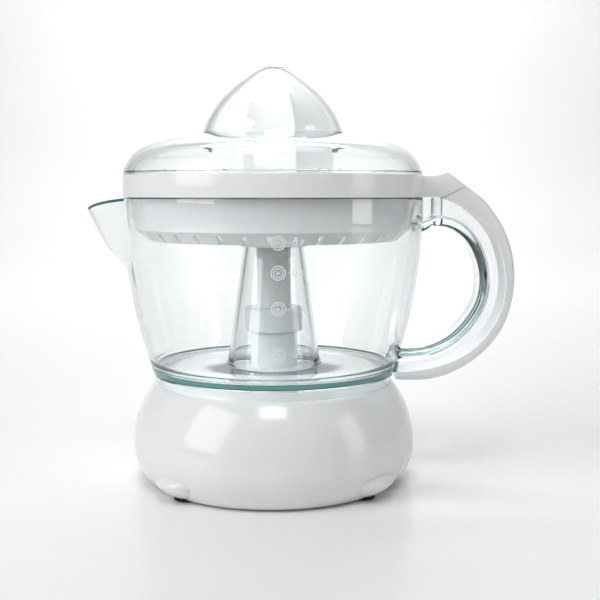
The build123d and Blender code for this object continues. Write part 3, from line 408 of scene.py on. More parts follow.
def ribbed_cone():
    """A hollow reaming cone: a flat grid wound round the axis, up the outside and down the inside."""
    tree = node_group("ribbed_cone", [
        ("Ribs", "NodeSocketInt", 8),
        ("First Rib", "NodeSocketFloat", 0.0),
        ("Foot Radius", "NodeSocketFloat", 0.033),
        ("Foot Height", "NodeSocketFloat", 0.131),
        ("Rise", "NodeSocketFloat", 0.074),
        ("Roundness", "NodeSocketFloat", 5.4),
        ("Flute Depth", "NodeSocketFloat", 0.0036),
        ("Flute Sharpness", "NodeSocketFloat", 3.6),
        ("Rib Softness", "NodeSocketFloat", 0.025),
        ("Wall", "NodeSocketFloat", 0.0022),
        ("Around", "NodeSocketInt", 321),
        ("Along", "NodeSocketInt", 181),
        ("Material", "NodeSocketMaterial", None),
    ])
    add, subtract, multiply = {"operation": "ADD"}, {"operation": "SUBTRACT"}, {"operation": "MULTIPLY"}
    power, absolute = {"operation": "POWER"}, {"operation": "ABSOLUTE"}
    multiply_add = {"operation": "MULTIPLY_ADD"}
    given = add_node(tree, "NodeGroupInput").outputs
    grid = add_node(tree, "GeometryNodeMeshGrid", Size_X=1.0, Size_Y=1.0, Vertices_X=given["Around"],
                    Vertices_Y=given["Along"])
    spot = add_node(tree, "ShaderNodeSeparateXYZ", _0=add_node(tree, "GeometryNodeInputPosition"))
    across, along = spot.outputs["X"], spot.outputs["Y"]
    around = add_node(tree, MATH, add, _0=across, _1=0.5)
    # climb is 0 at the foot and 1 at the tip, on both skins
    doubled = add_node(tree, MATH, multiply, _0=along, _1=2.0)
    below = add_node(tree, MATH, absolute, _0=doubled)
    climb = add_node(tree, MATH, subtract, _0=1.0, _1=below)
    inside = add_node(tree, MATH, {"operation": "GREATER_THAN"}, _0=along, _1=0.0001)
    inset = add_node(tree, MATH, multiply, _0=inside, _1=given["Wall"])
    drawn_in = add_node(tree, MATH, power, _0=climb, _1=given["Roundness"])
    shape = add_node(tree, MATH, subtract, _0=1.0, _1=drawn_in)
    foot = add_node(tree, MATH, subtract, _0=given["Foot Radius"], _1=inset)
    crest = add_node(tree, MATH, multiply, _0=foot, _1=shape)
    # beside is 0 on a rib and 1 halfway to the next, and the softness rounds the rib's edge
    counted = add_node(tree, MATH, multiply, _0=around, _1=given["Ribs"])
    phase = add_node(tree, MATH, {"operation": "FRACT"}, _0=counted)
    spread = add_node(tree, MATH, multiply_add, _0=phase, _1=2.0, _2=-1.0)
    from_middle = add_node(tree, MATH, absolute, _0=spread)
    gap = add_node(tree, MATH, subtract, _0=1.0, _1=from_middle)
    softness = add_node(tree, MATH, multiply, _0=given["Rib Softness"], _1=given["Rib Softness"])
    squared = add_node(tree, MATH, multiply_add, _0=gap, _1=gap, _2=softness)
    eased = add_node(tree, MATH, {"operation": "SQRT"}, _0=squared)
    lowered = add_node(tree, MATH, subtract, _0=eased, _1=given["Rib Softness"])
    beside = add_node(tree, MATH, {"operation": "MINIMUM"}, _0=lowered, _1=1.0)
    near_rib = add_node(tree, MATH, subtract, _0=1.0, _1=beside)
    sharpened = add_node(tree, MATH, power, _0=near_rib, _1=given["Flute Sharpness"])
    scoop = add_node(tree, MATH, subtract, _0=1.0, _1=sharpened)
    shallower = add_node(tree, MATH, power, _0=shape, _1=0.6)
    deepest = add_node(tree, MATH, multiply, _0=given["Flute Depth"], _1=shallower)
    depth = add_node(tree, MATH, multiply, _0=deepest, _1=scoop)
    fluted = add_node(tree, MATH, subtract, _0=crest, _1=depth)
    radius = add_node(tree, MATH, {"operation": "MAXIMUM"}, _0=fluted, _1=0.0)
    angle = add_node(tree, MATH, multiply_add, _0=around, _1=TURN, _2=given["First Rib"])
    cosine = add_node(tree, MATH, {"operation": "COSINE"}, _0=angle)
    sine = add_node(tree, MATH, {"operation": "SINE"}, _0=angle)
    wound_x = add_node(tree, MATH, multiply, _0=radius, _1=cosine)
    wound_y = add_node(tree, MATH, multiply, _0=radius, _1=sine)
    reach = add_node(tree, MATH, subtract, _0=given["Rise"], _1=inset)
    height = add_node(tree, MATH, multiply_add, _0=climb, _1=reach, _2=given["Foot Height"])
    place = add_node(tree, "ShaderNodeCombineXYZ", X=wound_x, Y=wound_y, Z=height)
    wound = add_node(tree, "GeometryNodeSetPosition", Geometry=grid, Position=place)
    real = add_node(tree, "GeometryNodeRealizeInstances", Geometry=wound)
    painted = add_node(tree, "GeometryNodeSetMaterial", Geometry=real, Material=given["Material"])
    add_node(tree, "NodeGroupOutput", Geometry=painted)
    return tree


copies_tree = round_the_axis()
cone_tree = ribbed_cone()

# ---- jug: one clear piece from skirt to rim, with spout, floor, tower and handle ----

JUG_STEPS = 320
SPOUT_HALF_ANGLE = math.radians(25)
# How far the spout's nose stands out from the wall, against height
SPOUT_NOSE = [(96.0, -1.0), (102.0, 0.5), (107.0, 2.1), (112.5, 5.6), (118.5, 10.2), (126.5, 14.3), (132.0, 16.6),
              (137.5, 19.2), (144.0, 22.0)]
# The spout grows out of the wall between these heights
SPOUT_START, SPOUT_FULL = 97.0, 110.0
# The nose's edge is eased by this angle, and the flanks run into the wall over this distance
SPOUT_EASE = 0.035
SPOUT_BLEND = 0.9


def wall_radius(height):
    """The jug's outer radius: an arc from the floor up to the rim."""
    chord = math.hypot(RIM_RADIUS - FLOOR_RADIUS, RIM_HEIGHT - FLOOR_HEIGHT)
    share = (height - FLOOR_HEIGHT) / (RIM_HEIGHT - FLOOR_HEIGHT)
    straight = FLOOR_RADIUS + share * (RIM_RADIUS - FLOOR_RADIUS)
    return straight + WALL_BULGE * 4 * share * (1 - share) * (chord / (RIM_HEIGHT - FLOOR_HEIGHT)) ** 2


def nose_reach(height):
    """How far the spout's nose stands out at a height."""
    keys = SPOUT_NOSE
    if height <= keys[0][0]:
        return keys[0][1]
    for (low, a), (high, b) in zip(keys, keys[1:]):
        if height <= high:
            share = (height - low) / (high - low)
            return a + (b - a) * share
    return keys[-1][1]


def spout_radius(angle, height):
    """The outer radius at an angle from the spout's middle: the wall, or the flank where that is further out."""
    wall = wall_radius(height)
    risen = min(max((height - SPOUT_START) / (SPOUT_FULL - SPOUT_START), 0.0), 1.0)
    if abs(angle) > 2 * SPOUT_HALF_ANGLE or risen == 0:
        return wall
    nose = wall + nose_reach(height)
    side, back = wall * math.sin(SPOUT_HALF_ANGLE), wall * math.cos(SPOUT_HALF_ANGLE)
    eased = math.sqrt(angle ** 2 + SPOUT_EASE ** 2)
    point = nose + SPOUT_EASE * nose * (nose - back) / side
    flank = point * side / (math.cos(eased) * side + math.sin(eased) * (point - back))
    gap = flank - wall
    if eased > SPOUT_HALF_ANGLE:
        gap = -abs(gap)
    blend = SPOUT_BLEND * max(0.0, 1 - abs(angle) / (2 * SPOUT_HALF_ANGLE))
    return wall + risen ** 2 * (3 - 2 * risen) * (gap + math.sqrt(gap ** 2 + blend ** 2)) / 2


def rim_height_at(angle):
    """The rim drops towards the tip of the spout."""
    reach = spout_radius(angle, RIM_HEIGHT) - RIM_RADIUS
    reach = max(0.0, reach - 0.3)
    return RIM_HEIGHT - 0.18 * reach - 7.9e-6 * reach ** 4


def wall_row(share, inset, drop=0.0):
    """One closed row of the wall, share of the way from floor to rim, moved inwards by inset."""
    row = []
    for j in range(JUG_STEPS):
        angle = TURN * j / JUG_STEPS
        off_spout = (angle + math.pi) % TURN - math.pi
        height = FLOOR_HEIGHT + share * (rim_height_at(off_spout) - FLOOR_HEIGHT) - drop
        radius = spout_radius(off_spout, height)
        row.append((-radius * math.cos(angle), -radius * math.sin(angle), height))
    if inset:
        flat = [Vector(point[:2]) for point in row]
        moved = []
        for j, point in enumerate(row):
            along = (flat[(j + 1) % JUG_STEPS] - flat[j - 1]).normalized()
            x, y = flat[j] - Vector((along.y, -along.x)) * inset
            moved.append((x, y, point[2]))
        row = moved
    return row


def round_row(radius, height):
    return [(-radius * math.cos(TURN * j / JUG_STEPS), -radius * math.sin(TURN * j / JUG_STEPS), height)
            for j in range(JUG_STEPS)]


TOWER_TOP = 124.5
TOWER_TOP_RADIUS = 14.35
TOWER_FOOT_RADIUS = 23.8
TOWER_WALL = 2.2

inner_floor = FLOOR_RADIUS - WALL
jug_rows = [round_row(r, z) for r, z in (
    (SKIRT_RADIUS - 0.4, SKIRT_HEIGHT), (SKIRT_RADIUS, SKIRT_HEIGHT + 0.4), (60.9, 54.6),
    (FLOOR_RADIUS - 0.7, FLOOR_HEIGHT - FLOOR_THICKNESS), (FLOOR_RADIUS - 0.1, FLOOR_HEIGHT - 0.6))]
jug_rows += [wall_row(share / 52, 0) for share in range(0, 51)]
jug_rows += [wall_row(1, 0, drop) for drop in (2.2, 1.4, 0.9, 0.45)]
jug_rows += [wall_row(1, 0.15, 0.12), wall_row(1, 0.5, 0)]
jug_rows += [wall_row(1, WALL - 0.5, 0), wall_row(1, WALL - 0.15, 0.12), wall_row(1, WALL, 0.45)]
jug_rows += [wall_row(1 - share / 46, WALL) for share in range(1, 45)]
fillet = 2.6
for k in range(7):
    bend = math.pi / 2 * k / 6
    jug_rows.append(round_row(inner_floor + 0.2 - fillet * (1 - math.cos(bend)),
                              FLOOR_HEIGHT + fillet * (1 - math.sin(bend))))
jug_rows += [round_row(r, z) for r, z in (
    (50, FLOOR_HEIGHT), (38, FLOOR_HEIGHT), (TOWER_FOOT_RADIUS + 2.0, FLOOR_HEIGHT),
    (TOWER_FOOT_RADIUS + 0.9, FLOOR_HEIGHT + 0.3), (TOWER_FOOT_RADIUS + 0.1, FLOOR_HEIGHT + 1.2))]
slope = (TOWER_TOP_RADIUS - TOWER_FOOT_RADIUS) / (TOWER_TOP - FLOOR_HEIGHT)
for k in range(1, 16):
    z = FLOOR_HEIGHT + 1.2 + (TOWER_TOP - 0.4 - FLOOR_HEIGHT - 1.2) * k / 15
    jug_rows.append(round_row(TOWER_FOOT_RADIUS + slope * (z - FLOOR_HEIGHT), z))
jug_rows += [round_row(TOWER_TOP_RADIUS - 0.4, TOWER_TOP),
             round_row(TOWER_TOP_RADIUS - TOWER_WALL + 0.4, TOWER_TOP)]
floor_under = FLOOR_HEIGHT - FLOOR_THICKNESS
for k in range(16):
    z = TOWER_TOP - 0.4 - (TOWER_TOP - 0.4 - floor_under - 1.2) * k / 15
    jug_rows.append(round_row(TOWER_FOOT_RADIUS - TOWER_WALL + slope * (z - FLOOR_HEIGHT), z))
jug_rows += [round_row(r, z) for r, z in (
    (TOWER_FOOT_RADIUS - TOWER_WALL + 1.2, floor_under), (38, floor_under), (50, floor_under),
    (57.6, floor_under), (58.6, floor_under - 0.4), (58.9, floor_under - 1.3), (58.2, 53.0),
    (SKIRT_RADIUS - WALL, SKIRT_HEIGHT + 0.4), (SKIRT_RADIUS - WALL + 0.4, SKIRT_HEIGHT))]
jug = solid("jug_clear", *skin(jug_rows), clear_san)

# Lines of the handle, from the jug's top to its foot, as (x, z)
grip_line = smooth_line([(73.0, 125.0), (76.2, 126.6), (81.4, 128.8), (88.8, 127.4), (95.4, 122.6), (100.4, 114.6),
                         (103.2, 104.0), (102.2, 92.4), (96.5, 81.9), (88.4, 73.8), (78.6, 68.8), (70.4, 67.4),
                         (63.5, 67.2)], 6)
cover_line = smooth_line([(84.6, 142.9), (92.6, 140.0), (99.4, 135.6), (107.0, 128.2), (112.2, 119.4), (115.2, 108.8),
                          (116.2, 99.0), (114.9, 88.9), (111.2, 80.0), (105.0, 71.4), (95.6, 63.6), (84.0, 58.7),
                          (72.8, 56.4), (60.6, 55.4)], 6)
back_line = smooth_line([(96.3, 148.6), (104.8, 142.2), (110.0, 135.9), (113.9, 130.0), (117.3, 122.8), (120.0, 113.8),
                         (121.2, 102.6), (120.1, 91.0), (116.4, 79.2), (109.5, 68.6), (99.6, 59.8), (87.0, 53.4),
                         (75.0, 50.9), (62.0, 51.0)], 6)


def along_line(line, share):
    """The point a share of the way along a line's length."""
    lengths = [0.0]
    for a, b in zip(line, line[1:]):
        lengths.append(lengths[-1] + math.dist(a, b))
    want = share * lengths[-1]
    for i in range(len(line) - 1):
        if want <= lengths[i + 1] or i == len(line) - 2:
            part = (want - lengths[i]) / (lengths[i + 1] - lengths[i])
            return Vector(line[i]).lerp(Vector(line[i + 1]), part)


def between(inner, outer, section, steps):
    """Closed rows of a section swept between two lines: section(depth) gives (outwards, across) points."""
    rows = []
    for k in range(steps + 1):
        a, b = along_line(inner, k / steps), along_line(outer, k / steps)
        out = (b - a).normalized()
        rows.append([(a.x + out.x * n, y, a.y + out.y * n) for n, y in section((b - a).length)])
    return rows


def channel_section(depth):
    """A U open towards the cover, its finger side rounded."""
    outside = rounded([(depth, HANDLE_HALF, 0), (0, HANDLE_HALF, 4.4), (0, -HANDLE_HALF, 4.4),
                       (depth, -HANDLE_HALF, 0)], 7)
    half = HANDLE_HALF - HANDLE_WALL
    inside = rounded([(depth, -half, 0), (FINGER_WALL, -half, 2.4), (FINGER_WALL, half, 2.4),
                      (depth, half, 0)], 7)
    return outside + inside


# The channel's open side starts level with the rim, under the strainer's arm, and then follows the cover
open_line = [(73.0, 142.9), (76.0, 142.9), (80.0, 142.9)] + cover_line
channel_rows = between(grip_line, open_line, channel_section, 90)
channel = solid("handle_channel", *skin(channel_rows, False, True), clear_san)
post_rows = [[(82.4 + 2.9 * math.cos(TURN * j / 32), 2.9 * math.sin(TURN * j / 32), z) for j in range(32)]
             for z in (128.2, 142.6)]
post = solid("handle_post", *skin(post_rows, False, True), clear_san)
combine(channel, post, "UNION")
combine(jug, channel, "UNION")


def paint(piece, material, wanted):
    """Gives another material to the faces whose middles are wanted."""
    piece.data.materials.append(material)
    for face in piece.data.polygons:
        if wanted(*(face.center / MM)):
            face.material_index = len(piece.data.materials) - 1


# Where the painted teal light goes: the floor's rim, seen through the wall.
def on_floor_rim(x, y, z):
    return floor_under < z < FLOOR_HEIGHT and abs(math.hypot(x, y) - FLOOR_RADIUS) < 1.0


def on_lip(x, y, z):
    """The top of the rim and a narrow band under it, deeper on the spout, where the painted dark teal shade goes."""
    off_spout = math.atan2(-y, -x)
    band = 1.6 if abs(off_spout) < 0.9 * SPOUT_HALF_ANGLE else 0.3
    reach = math.hypot(x, y) - spout_radius(off_spout, z)
    return z > rim_height_at(off_spout) - band and -WALL + 0.3 < reach < 0.6 and x < RIM_RADIUS - 4


# Painted light: opaque teal on the floor's rim, and painted dark shade on the lip.
paint(jug, floor_rim_painted_light, on_floor_rim)
paint(jug, lip_painted_shade, on_lip)
settle(jug, "jug", "jug", slot="clear_san")

# ---- volume marks ----

MARK_RELIEF = 0.3


def on_front_wall(across, height):
    """A point on the jug's front wall from its place across and up, and the way out of the wall."""
    radius = wall_radius(height)
    angle = across / radius
    out = Vector((math.sin(angle), -math.cos(angle), 0))
    return out * radius + Vector((0, 0, height)), out


def raised(flat_points, flat_faces, name):
    """A flat figure stood out from the front wall by the relief."""
    count = len(flat_points)
    points = []
    for lift in (-0.02, MARK_RELIEF):
        for across, height in flat_points:
            spot, out = on_front_wall(across, height)
            points.append(spot + out * lift)
    faces = [tuple(reversed(face)) for face in flat_faces]
    faces += [tuple(i + count for i in face) for face in flat_faces]
    edges = {}
    for face in flat_faces:
        for a, b in zip(face, face[1:] + face[:1]):
            edges[(a, b)] = edges.get((a, b), 0) + 1
    faces += [(a, b, b + count, a + count) for a, b in edges if (b, a) not in edges]
    return solid(name, points, faces, frosted_san)


def flat_ring(across, height, outer, inner, steps=40):
    """A ring drawn flat: points and faces."""
    points = [(across + r * math.cos(TURN * j / steps), height + r * math.sin(TURN * j / steps))
              for r in (outer, inner) for j in range(steps)]
    faces = [(j, (j + 1) % steps, steps + (j + 1) % steps, steps + j) for j in range(steps)]
    return points, faces


def flat_words(text, across, height, size):
    """Figures drawn flat with the built-in font: points and faces."""
    curve = bpy.data.curves.new("figures", "FONT")
    curve.body = text
    curve.size = size
    curve.resolution_u = 3
    holder = bpy.data.objects.new("figures", curve)
    bpy.context.scene.collection.objects.link(holder)
    bpy.context.view_layer.update()
    mesh = bpy.data.meshes.new_from_object(holder.evaluated_get(bpy.context.evaluated_depsgraph_get()))
    points = [(v.co.x + across, v.co.y + height) for v in mesh.vertices]
    faces = [tuple(p.vertices) for p in mesh.polygons]
    bpy.data.objects.remove(holder)
    return points, faces


marks = []
for litres, height in (("0.7", 123.7), ("0.5", 110.5), ("0.3", 94.5), ("0.1", 73.5)):
    arrow = [(3.2, height - 0.9), (4.9, height), (3.2, height + 0.9)]
    dash = [(8.0, height - 0.15), (9.6, height - 0.15), (9.6, height + 0.15), (8.0, height + 0.15)]
    figures = [flat_ring(3.9, height, 3.3, 2.8), flat_ring(3.9, height, 2.2, 1.75), (arrow, [(0, 1, 2)]),
               (dash, [(0, 1, 2, 3)]), flat_words(litres, 10.2, height - 1.5, 4.2)]
    marks += [raised(*figure, f"mark_{litres}_{part}") for part, figure in enumerate(figures)]
# The moulding gate leaves a small pip on the floor
gate_rows = [(r, FLOOR_HEIGHT + z) for r, z in ((0, 0.6), (0.7, 0.6), (1.0, 0.4), (1.3, 0.02), (0, 0.02))]
gate_points, gate_faces = lathe(gate_rows, 24)
marks.append(solid("gate_mark", [(x - 9.5, y - 31, z) for x, y, z in gate_points], gate_faces, frosted_san))
volume_marks = join(marks, "jug_marks")
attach(volume_marks, "jug")

# ---- handle cover ----


def cover_section(depth):
    """The cover's section: flat against the channel, with well rounded outer edges."""
    bend = min(4.2, 0.85 * depth)
    return rounded([(0.06, HANDLE_HALF, 0.2), (0.06, -HANDLE_HALF, 0.2), (depth, -HANDLE_HALF, bend),
                    (depth, HANDLE_HALF, bend)], 8)


cover_rows = between(cover_line, back_line, cover_section, 84)
cover = solid("handle_cover_shell", *skin(cover_rows, False, True), gloss_abs)
jug_form = [(0, RIM_HEIGHT + 8)] + [(wall_radius(z) + 0.12, z) for z in range(int(RIM_HEIGHT) + 8, 58, -6)]
jug_form += [(FLOOR_RADIUS + 0.12, FLOOR_HEIGHT), (SKIRT_RADIUS + 0.1, SKIRT_HEIGHT - 2), (0, SKIRT_HEIGHT - 2)]
combine(cover, solid("jug_form", *lathe(jug_form, 128, False), gloss_abs), "DIFFERENCE")
settle(cover, "jug", "handle_cover", slot="white_abs")

# ---- strainer ----

SLOTS = 36
SLOT_WIDTH = 2.2
# The basket's closed outline, from the hub out along the underside, up the band and back along the top.
# The last number of each corner is its rounding
strainer_corners = [
    (9.5, 125.4, 0.2), (9.5, 134.0, 0.4), (12.1, 134.0, 0.8), (16.9, 128.0, 1.5),
    (30.0, 124.2, 0), (39.4, 124.0, 0), (50.0, 124.0, 0), (61.6, 124.0, 0), (64.9, 127.55, 0),
    (66.8, 129.6, 1.0),
    (70.2, 142.0, 0.5), (72.7, 146.0, 0.5), (72.7, 153.8, 0.35), (75.0, 153.8, 0.35), (75.0, 143.05, 0.5),
    (72.3, 143.05, 0.3), (68.9, 127.6, 1.0), (67.2, 126.1, 0), (62.5, 122.0, 0), (50.0, 122.0, 0),
    (39.4, 122.0, 0), (30.0, 122.2, 0),
    (16.95, 122.5, 0.8), (16.95, 118.5, 0.4), (15.3, 118.5, 0.3), (15.3, 125.4, 0.3),
]
strainer_outline = rounded(strainer_corners, 4)
SLOT_START = 39.4
# The slots climb the corner, further on the outside than on the inside
INNER_SLOT_END, OUTER_SLOT_END = 65.0, 67.25
SLOT_TOP = 129.0


def sector(outline, copies, slot_width, slot_start, inner_end, outer_end, top):
    """One share of the basket, with a slot through its floor that runs up its corner."""
    half = math.pi / copies
    columns = 7
    points, faces, slotted = [], [], []
    for i, (radius, height) in enumerate(outline):
        slot_end = inner_end if i < len(outline) // 2 else outer_end
        edge = min(slot_width / 2 / radius, 0.55 * half)
        turns = (-half, -(half + edge) / 2, -edge, 0, edge, (half + edge) / 2, half)
        points += [(radius * math.cos(a), radius * math.sin(a), height) for a in turns]
        slotted.append(slot_start - 0.01 <= radius <= slot_end and height < top)
    for i in range(len(outline)):
        j = (i + 1) % len(outline)
        for c in range(columns - 1):
            if c in (2, 3) and slotted[i] and slotted[j]:
                continue
            faces.append((i * columns + c, i * columns + c + 1, j * columns + c + 1, j * columns + c))
    # The slot's own walls join the top skin's rows to the bottom skin's rows, which run the other way
    upper = [i for i in range(len(outline)) if slotted[i] and i < len(outline) // 2]
    lower = [i for i in range(len(outline)) if slotted[i] and i >= len(outline) // 2][::-1]
    for c in (2, 4):
        loop = [i * columns + c for i in upper] + [i * columns + c for i in reversed(lower)]
        faces.append(tuple(loop))
    for i, j in ((upper[0], lower[0]), (upper[-1], lower[-1])):
        faces += [(i * columns + c, i * columns + c + 1, j * columns + c + 1, j * columns + c) for c in (2, 3)]
    return points, faces


one_slot = sector(strainer_outline, SLOTS, SLOT_WIDTH, SLOT_START, INNER_SLOT_END, OUTER_SLOT_END, SLOT_TOP)
share = solid("strainer_share", *one_slot, gloss_abs)
basket = grow("strainer_basket", share.data, copies_tree, gloss_abs, Copies=SLOTS)
bpy.data.objects.remove(share)


def slab(name, outline, half_width, edge, material):
    """An outline in x and z made half_width thick each side of the middle, with its long edges eased."""
    def inset(amount):
        flat = [Vector(p) for p in outline]
        area = sum(a.x * b.y - b.x * a.y for a, b in zip(flat, flat[1:] + flat[:1]))
        moved = []
        for i, point in enumerate(flat):
            along = (flat[(i + 1) % len(flat)] - flat[i - 1]).normalized()
            side = Vector((-along.y, along.x)) * (1 if area > 0 else -1)
            moved.append(point + side * amount)
        return moved
    rows = []
    for k in range(-4, 5):
        bend = math.pi / 2 * abs(k) / 4
        reach = half_width - edge * (1 - math.sin(bend)) if k else half_width - edge
        amount = edge * (1 - math.cos(bend))
        rows.append([(p.x, math.copysign(reach, k) if k else 0, p.y) for p in inset(amount)])
    return solid(name, *skin(rows, False, True), material)


arm_outline = rounded([
    (73.4, 153.75, 0), (73.4, 143.1, 0), (84.4, 143.1, 0.8), (96.1, 148.55, 0.8), (86.3, 155.7, 1.2),
    (81.2, 154.0, 3.5),
], 5)
arm = slab("strainer_arm", arm_outline, HANDLE_HALF, 0.6, gloss_abs)
strainer = join([basket, arm], "strainer_white")
settle(strainer, "jug", "strainer", slot="white_abs")

# ---- dust cover ----

LID_WALL = 2.0
dome = smooth_line([(0.0, 208.1), (4.8, 207.6), (9.4, 206.0), (16.2, 201.3), (22.2, 196.2), (27.0, 190.8), (31.0, 184.9),
                    (33.9, 179.0), (35.4, 174.4)], 5)
shoulder = smooth_line([(35.9, 174.4), (43.3, 173.2), (53.2, 171.2), (60.5, 169.3), (66.0, 167.0), (70.2, 163.6),
                        (72.9, 159.6), (74.3, 156.6), (74.7, 154.4)], 6)
dome_inside = offset_line(dome, LID_WALL)
shoulder_inside = offset_line(shoulder, LID_WALL)
dome_inside[0] = (0.0, dome[0][1] - LID_WALL)
lid_outline = dome + shoulder + [(74.6, 153.95), (74.2, 153.85), (72.4, 153.85), (72.3, 151.8), (72.0, 151.5),
                                 (71.2, 151.5), (70.9, 151.8), (71.0, 154.8)]
lid_outline += [p for p in reversed(shoulder_inside) if p[1] > 155.2 and p[0] > 35.2]
lid_outline += [p for p in reversed(dome_inside) if p[1] > 173.4]
lid = solid("dust_cover_clear", *lathe(lid_outline, 256, False), clear_san, 40)
settle(lid, "lid", "dust_cover", slot="clear_san")

# ---- reaming cone ----

cone = grow("cone_shell", bpy.data.meshes.new("cone_start"), cone_tree, gloss_abs, sharp=45,
            Ribs=8, First_Rib=math.radians(20.5), Foot_Radius=0.033, Foot_Height=0.131, Rise=0.0738, Roundness=5.4,
            Flute_Depth=0.0045, Flute_Sharpness=2.7, Rib_Softness=0.025, Wall=0.0022, Around=321, Along=181)


def flats_radius(half_flats, angle):
    """The radius of a six-sided outline at an angle."""
    return half_flats / math.cos((angle + math.pi / 6) % (math.pi / 3) - math.pi / 6)


def mixed_rows(levels, steps):
    """Rows for a turned piece with six-sided stretches: each level is (size, height, six_sided)."""
    rows = []
    for size, height, six_sided in levels:
        row = []
        for j in range(steps):
            angle = TURN * j / steps
            radius = flats_radius(size, angle) if six_sided else size
            row.append((radius * math.cos(angle), radius * math.sin(angle), height))
        rows.append(row)
    return rows


socket_levels = [(11.2, 139.2, False), (11.6, 139.6, False), (11.6, 196.0, False), (0.01, 196.0, False),
                 (0.01, 165.6, False), (7.2, 165.6, True), (7.2, 140.0, True), (7.6, 139.2, True)]
socket = solid("cone_socket", *skin(mixed_rows(socket_levels, 72)), gloss_abs)
cone_piece = join([cone, socket], "reaming_cone")
settle(cone_piece, "cone", "reamer_cone", slot="white_abs")

# ---- spindle ----

spindle_levels = [
    (0.01, 165.0, True), (6.2, 165.0, True), (6.85, 164.3, True), (6.85, 126.6, True), (6.9, 126.0, True),
    (8.35, 126.0, False), (SHAFT_RADIUS, 125.6, False), (SHAFT_RADIUS, 88.4, False), (9.2, 88.0, False),
    (13.6, 88.0, False), (14.5, 87.1, False), (14.5, 76.3, False), (14.3, 76.0, False), (12.9, 76.0, False),
    (12.63, 76.3, False), (12.63, 86.0, False), (SHAFT_RADIUS, 86.0, False), (SHAFT_RADIUS, 66.2, False),
    (8.5, 66.0, False), (5.0, 66.0, True), (5.0, 23.9, True), (4.2, 23.9, False), (4.2, 22.9, False),
    (5.0, 22.9, True), (5.0, 20.9, True), (4.6, 20.5, True), (1.6, 20.5, False), (1.6, 18.3, False),
    (1.3, 18.0, False), (0.01, 18.0, False),
]
spindle = solid("spindle_white", *skin(mixed_rows(spindle_levels, 96), False), gloss_abs)
settle(spindle, "spindle", "spindle", slot="white_abs")

# The return spring between the drive gear's hub and the spindle's shoulder, its wire given by its radius
SPRING_FOOT, SPRING_TOP = 49.0, 66.0
SPRING_RADIUS, SPRING_WIRE, SPRING_TURNS = 7.9, 0.6, 5.5
WIRE_STEPS, COIL_STEPS = 14, 264
wire_turns = [TURN * j / WIRE_STEPS for j in range(WIRE_STEPS)]
wire = [(SPRING_RADIUS + SPRING_WIRE * math.cos(turn), SPRING_WIRE * math.sin(turn)) for turn in wire_turns]
spring_rows = []
for k in range(COIL_STEPS + 1):
    turned = TURN * SPRING_TURNS * k / COIL_STEPS
    height = SPRING_FOOT + SPRING_WIRE + (SPRING_TOP - SPRING_FOOT - 2 * SPRING_WIRE) * k / COIL_STEPS
    spring_rows.append([(r * math.cos(turned), r * math.sin(turned), height + z) for r, z in wire])
spring = solid("return_spring", *skin(spring_rows, False, True), turned_steel, 50)
settle(spring, "spindle", "spindle_spring", slot="steel")
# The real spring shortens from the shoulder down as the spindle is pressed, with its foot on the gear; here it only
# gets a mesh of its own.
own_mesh(spring)

# ---- base housing ----


def bun(inset, steps):
    """The base's side from its shoulder down to its bottom edge: two arcs that meet at the belly."""
    belly = BELLY_RADIUS - inset
    line = []
    top = (60.2 - 1.2 * inset, SKIRT_HEIGHT - inset)
    bottom = (BASE_BOTTOM_RADIUS - inset, BASE_BOTTOM)
    for end, direction in ((top, 1), (bottom, -1)):
        across, up = belly - end[0], abs(end[1] - BELLY_HEIGHT)
        radius = (across ** 2 + up ** 2) / (2 * across)
        sweep = math.asin(up / radius)
        turns = [sweep * k / steps for k in range(steps + 1)]
        part = [(belly - radius * (1 - math.cos(turn)), BELLY_HEIGHT + direction * radius * math.sin(turn))
                for turn in turns]
        line += part[::-1] if direction > 0 else part[1:]
    return line


outside = bun(0, 30)
inside = bun(2.5, 14)
housing_outline = rounded([(10.0, 52.7, 0.3), (10.0, 81.0, 0.4), (12.03, 81.0, 0.5), (12.03, 55.2, 1.0),
                           (56.6, 55.2, 0.9), (56.6, SKIRT_HEIGHT, 0.5), (58.6, SKIRT_HEIGHT, 0)], 5)
housing_outline += [(59.6, SKIRT_HEIGHT - 0.07)] + outside[1:] + [(62.7, 0.85), (60.9, 0.85)] + inside[::-1]
housing_outline += [(54.1, 47.7), (54.1, 52.7)]
housing = solid("base_shell", *lathe(housing_outline, 256), gloss_abs, 38)
INLET_HEIGHT, INLET_RADIUS = 16, 4.6
bore_turns = [TURN * j / 48 for j in range(48)]
bore = [[(INLET_RADIUS * math.cos(turn), y, INLET_HEIGHT + INLET_RADIUS * math.sin(turn)) for turn in bore_turns]
        for y in (62, 76)]
combine(housing, solid("inlet_bore", *skin(bore, False, True), gloss_abs), "DIFFERENCE", 38)

FOOT_CIRCLE = 58.8
FOOT_ANGLE = math.radians(46.9)


def foot_shoe():
    """A rounded shoe that spreads from the rubber pad outwards and up into the base's side."""
    levels = [(2.1, 0.0, 6.9), (2.3, 0.0, 7.3), (3.2, 0.5, 8.6), (4.6, 1.3, 10.0), (6.4, 2.0, 11.4), (8.6, 2.5, 12.8),
              (10.4, 1.8, 13.2), (12.0, 0.4, 12.6), (13.5, -1.2, 11.4)]
    rows = []
    for height, out, radius in levels:
        row = []
        for j in range(64):
            angle = TURN * j / 64
            x, y = FOOT_CIRCLE + out + radius * math.cos(angle), 1.15 * radius * math.sin(angle)
            row.append((x * math.cos(FOOT_ANGLE) - y * math.sin(FOOT_ANGLE),
                        x * math.sin(FOOT_ANGLE) + y * math.cos(FOOT_ANGLE), height))
        rows.append(row)
    return skin(rows, False, True)


shoe = solid("foot_shoe", *foot_shoe(), gloss_abs)
shoes = grow("foot_shoes", shoe.data, copies_tree, gloss_abs, sharp=50, Copies=4)
bpy.data.objects.remove(shoe)
base_shell = join([housing, shoes], "base_white")
settle(base_shell, "base", "base_housing", slot="white_abs")

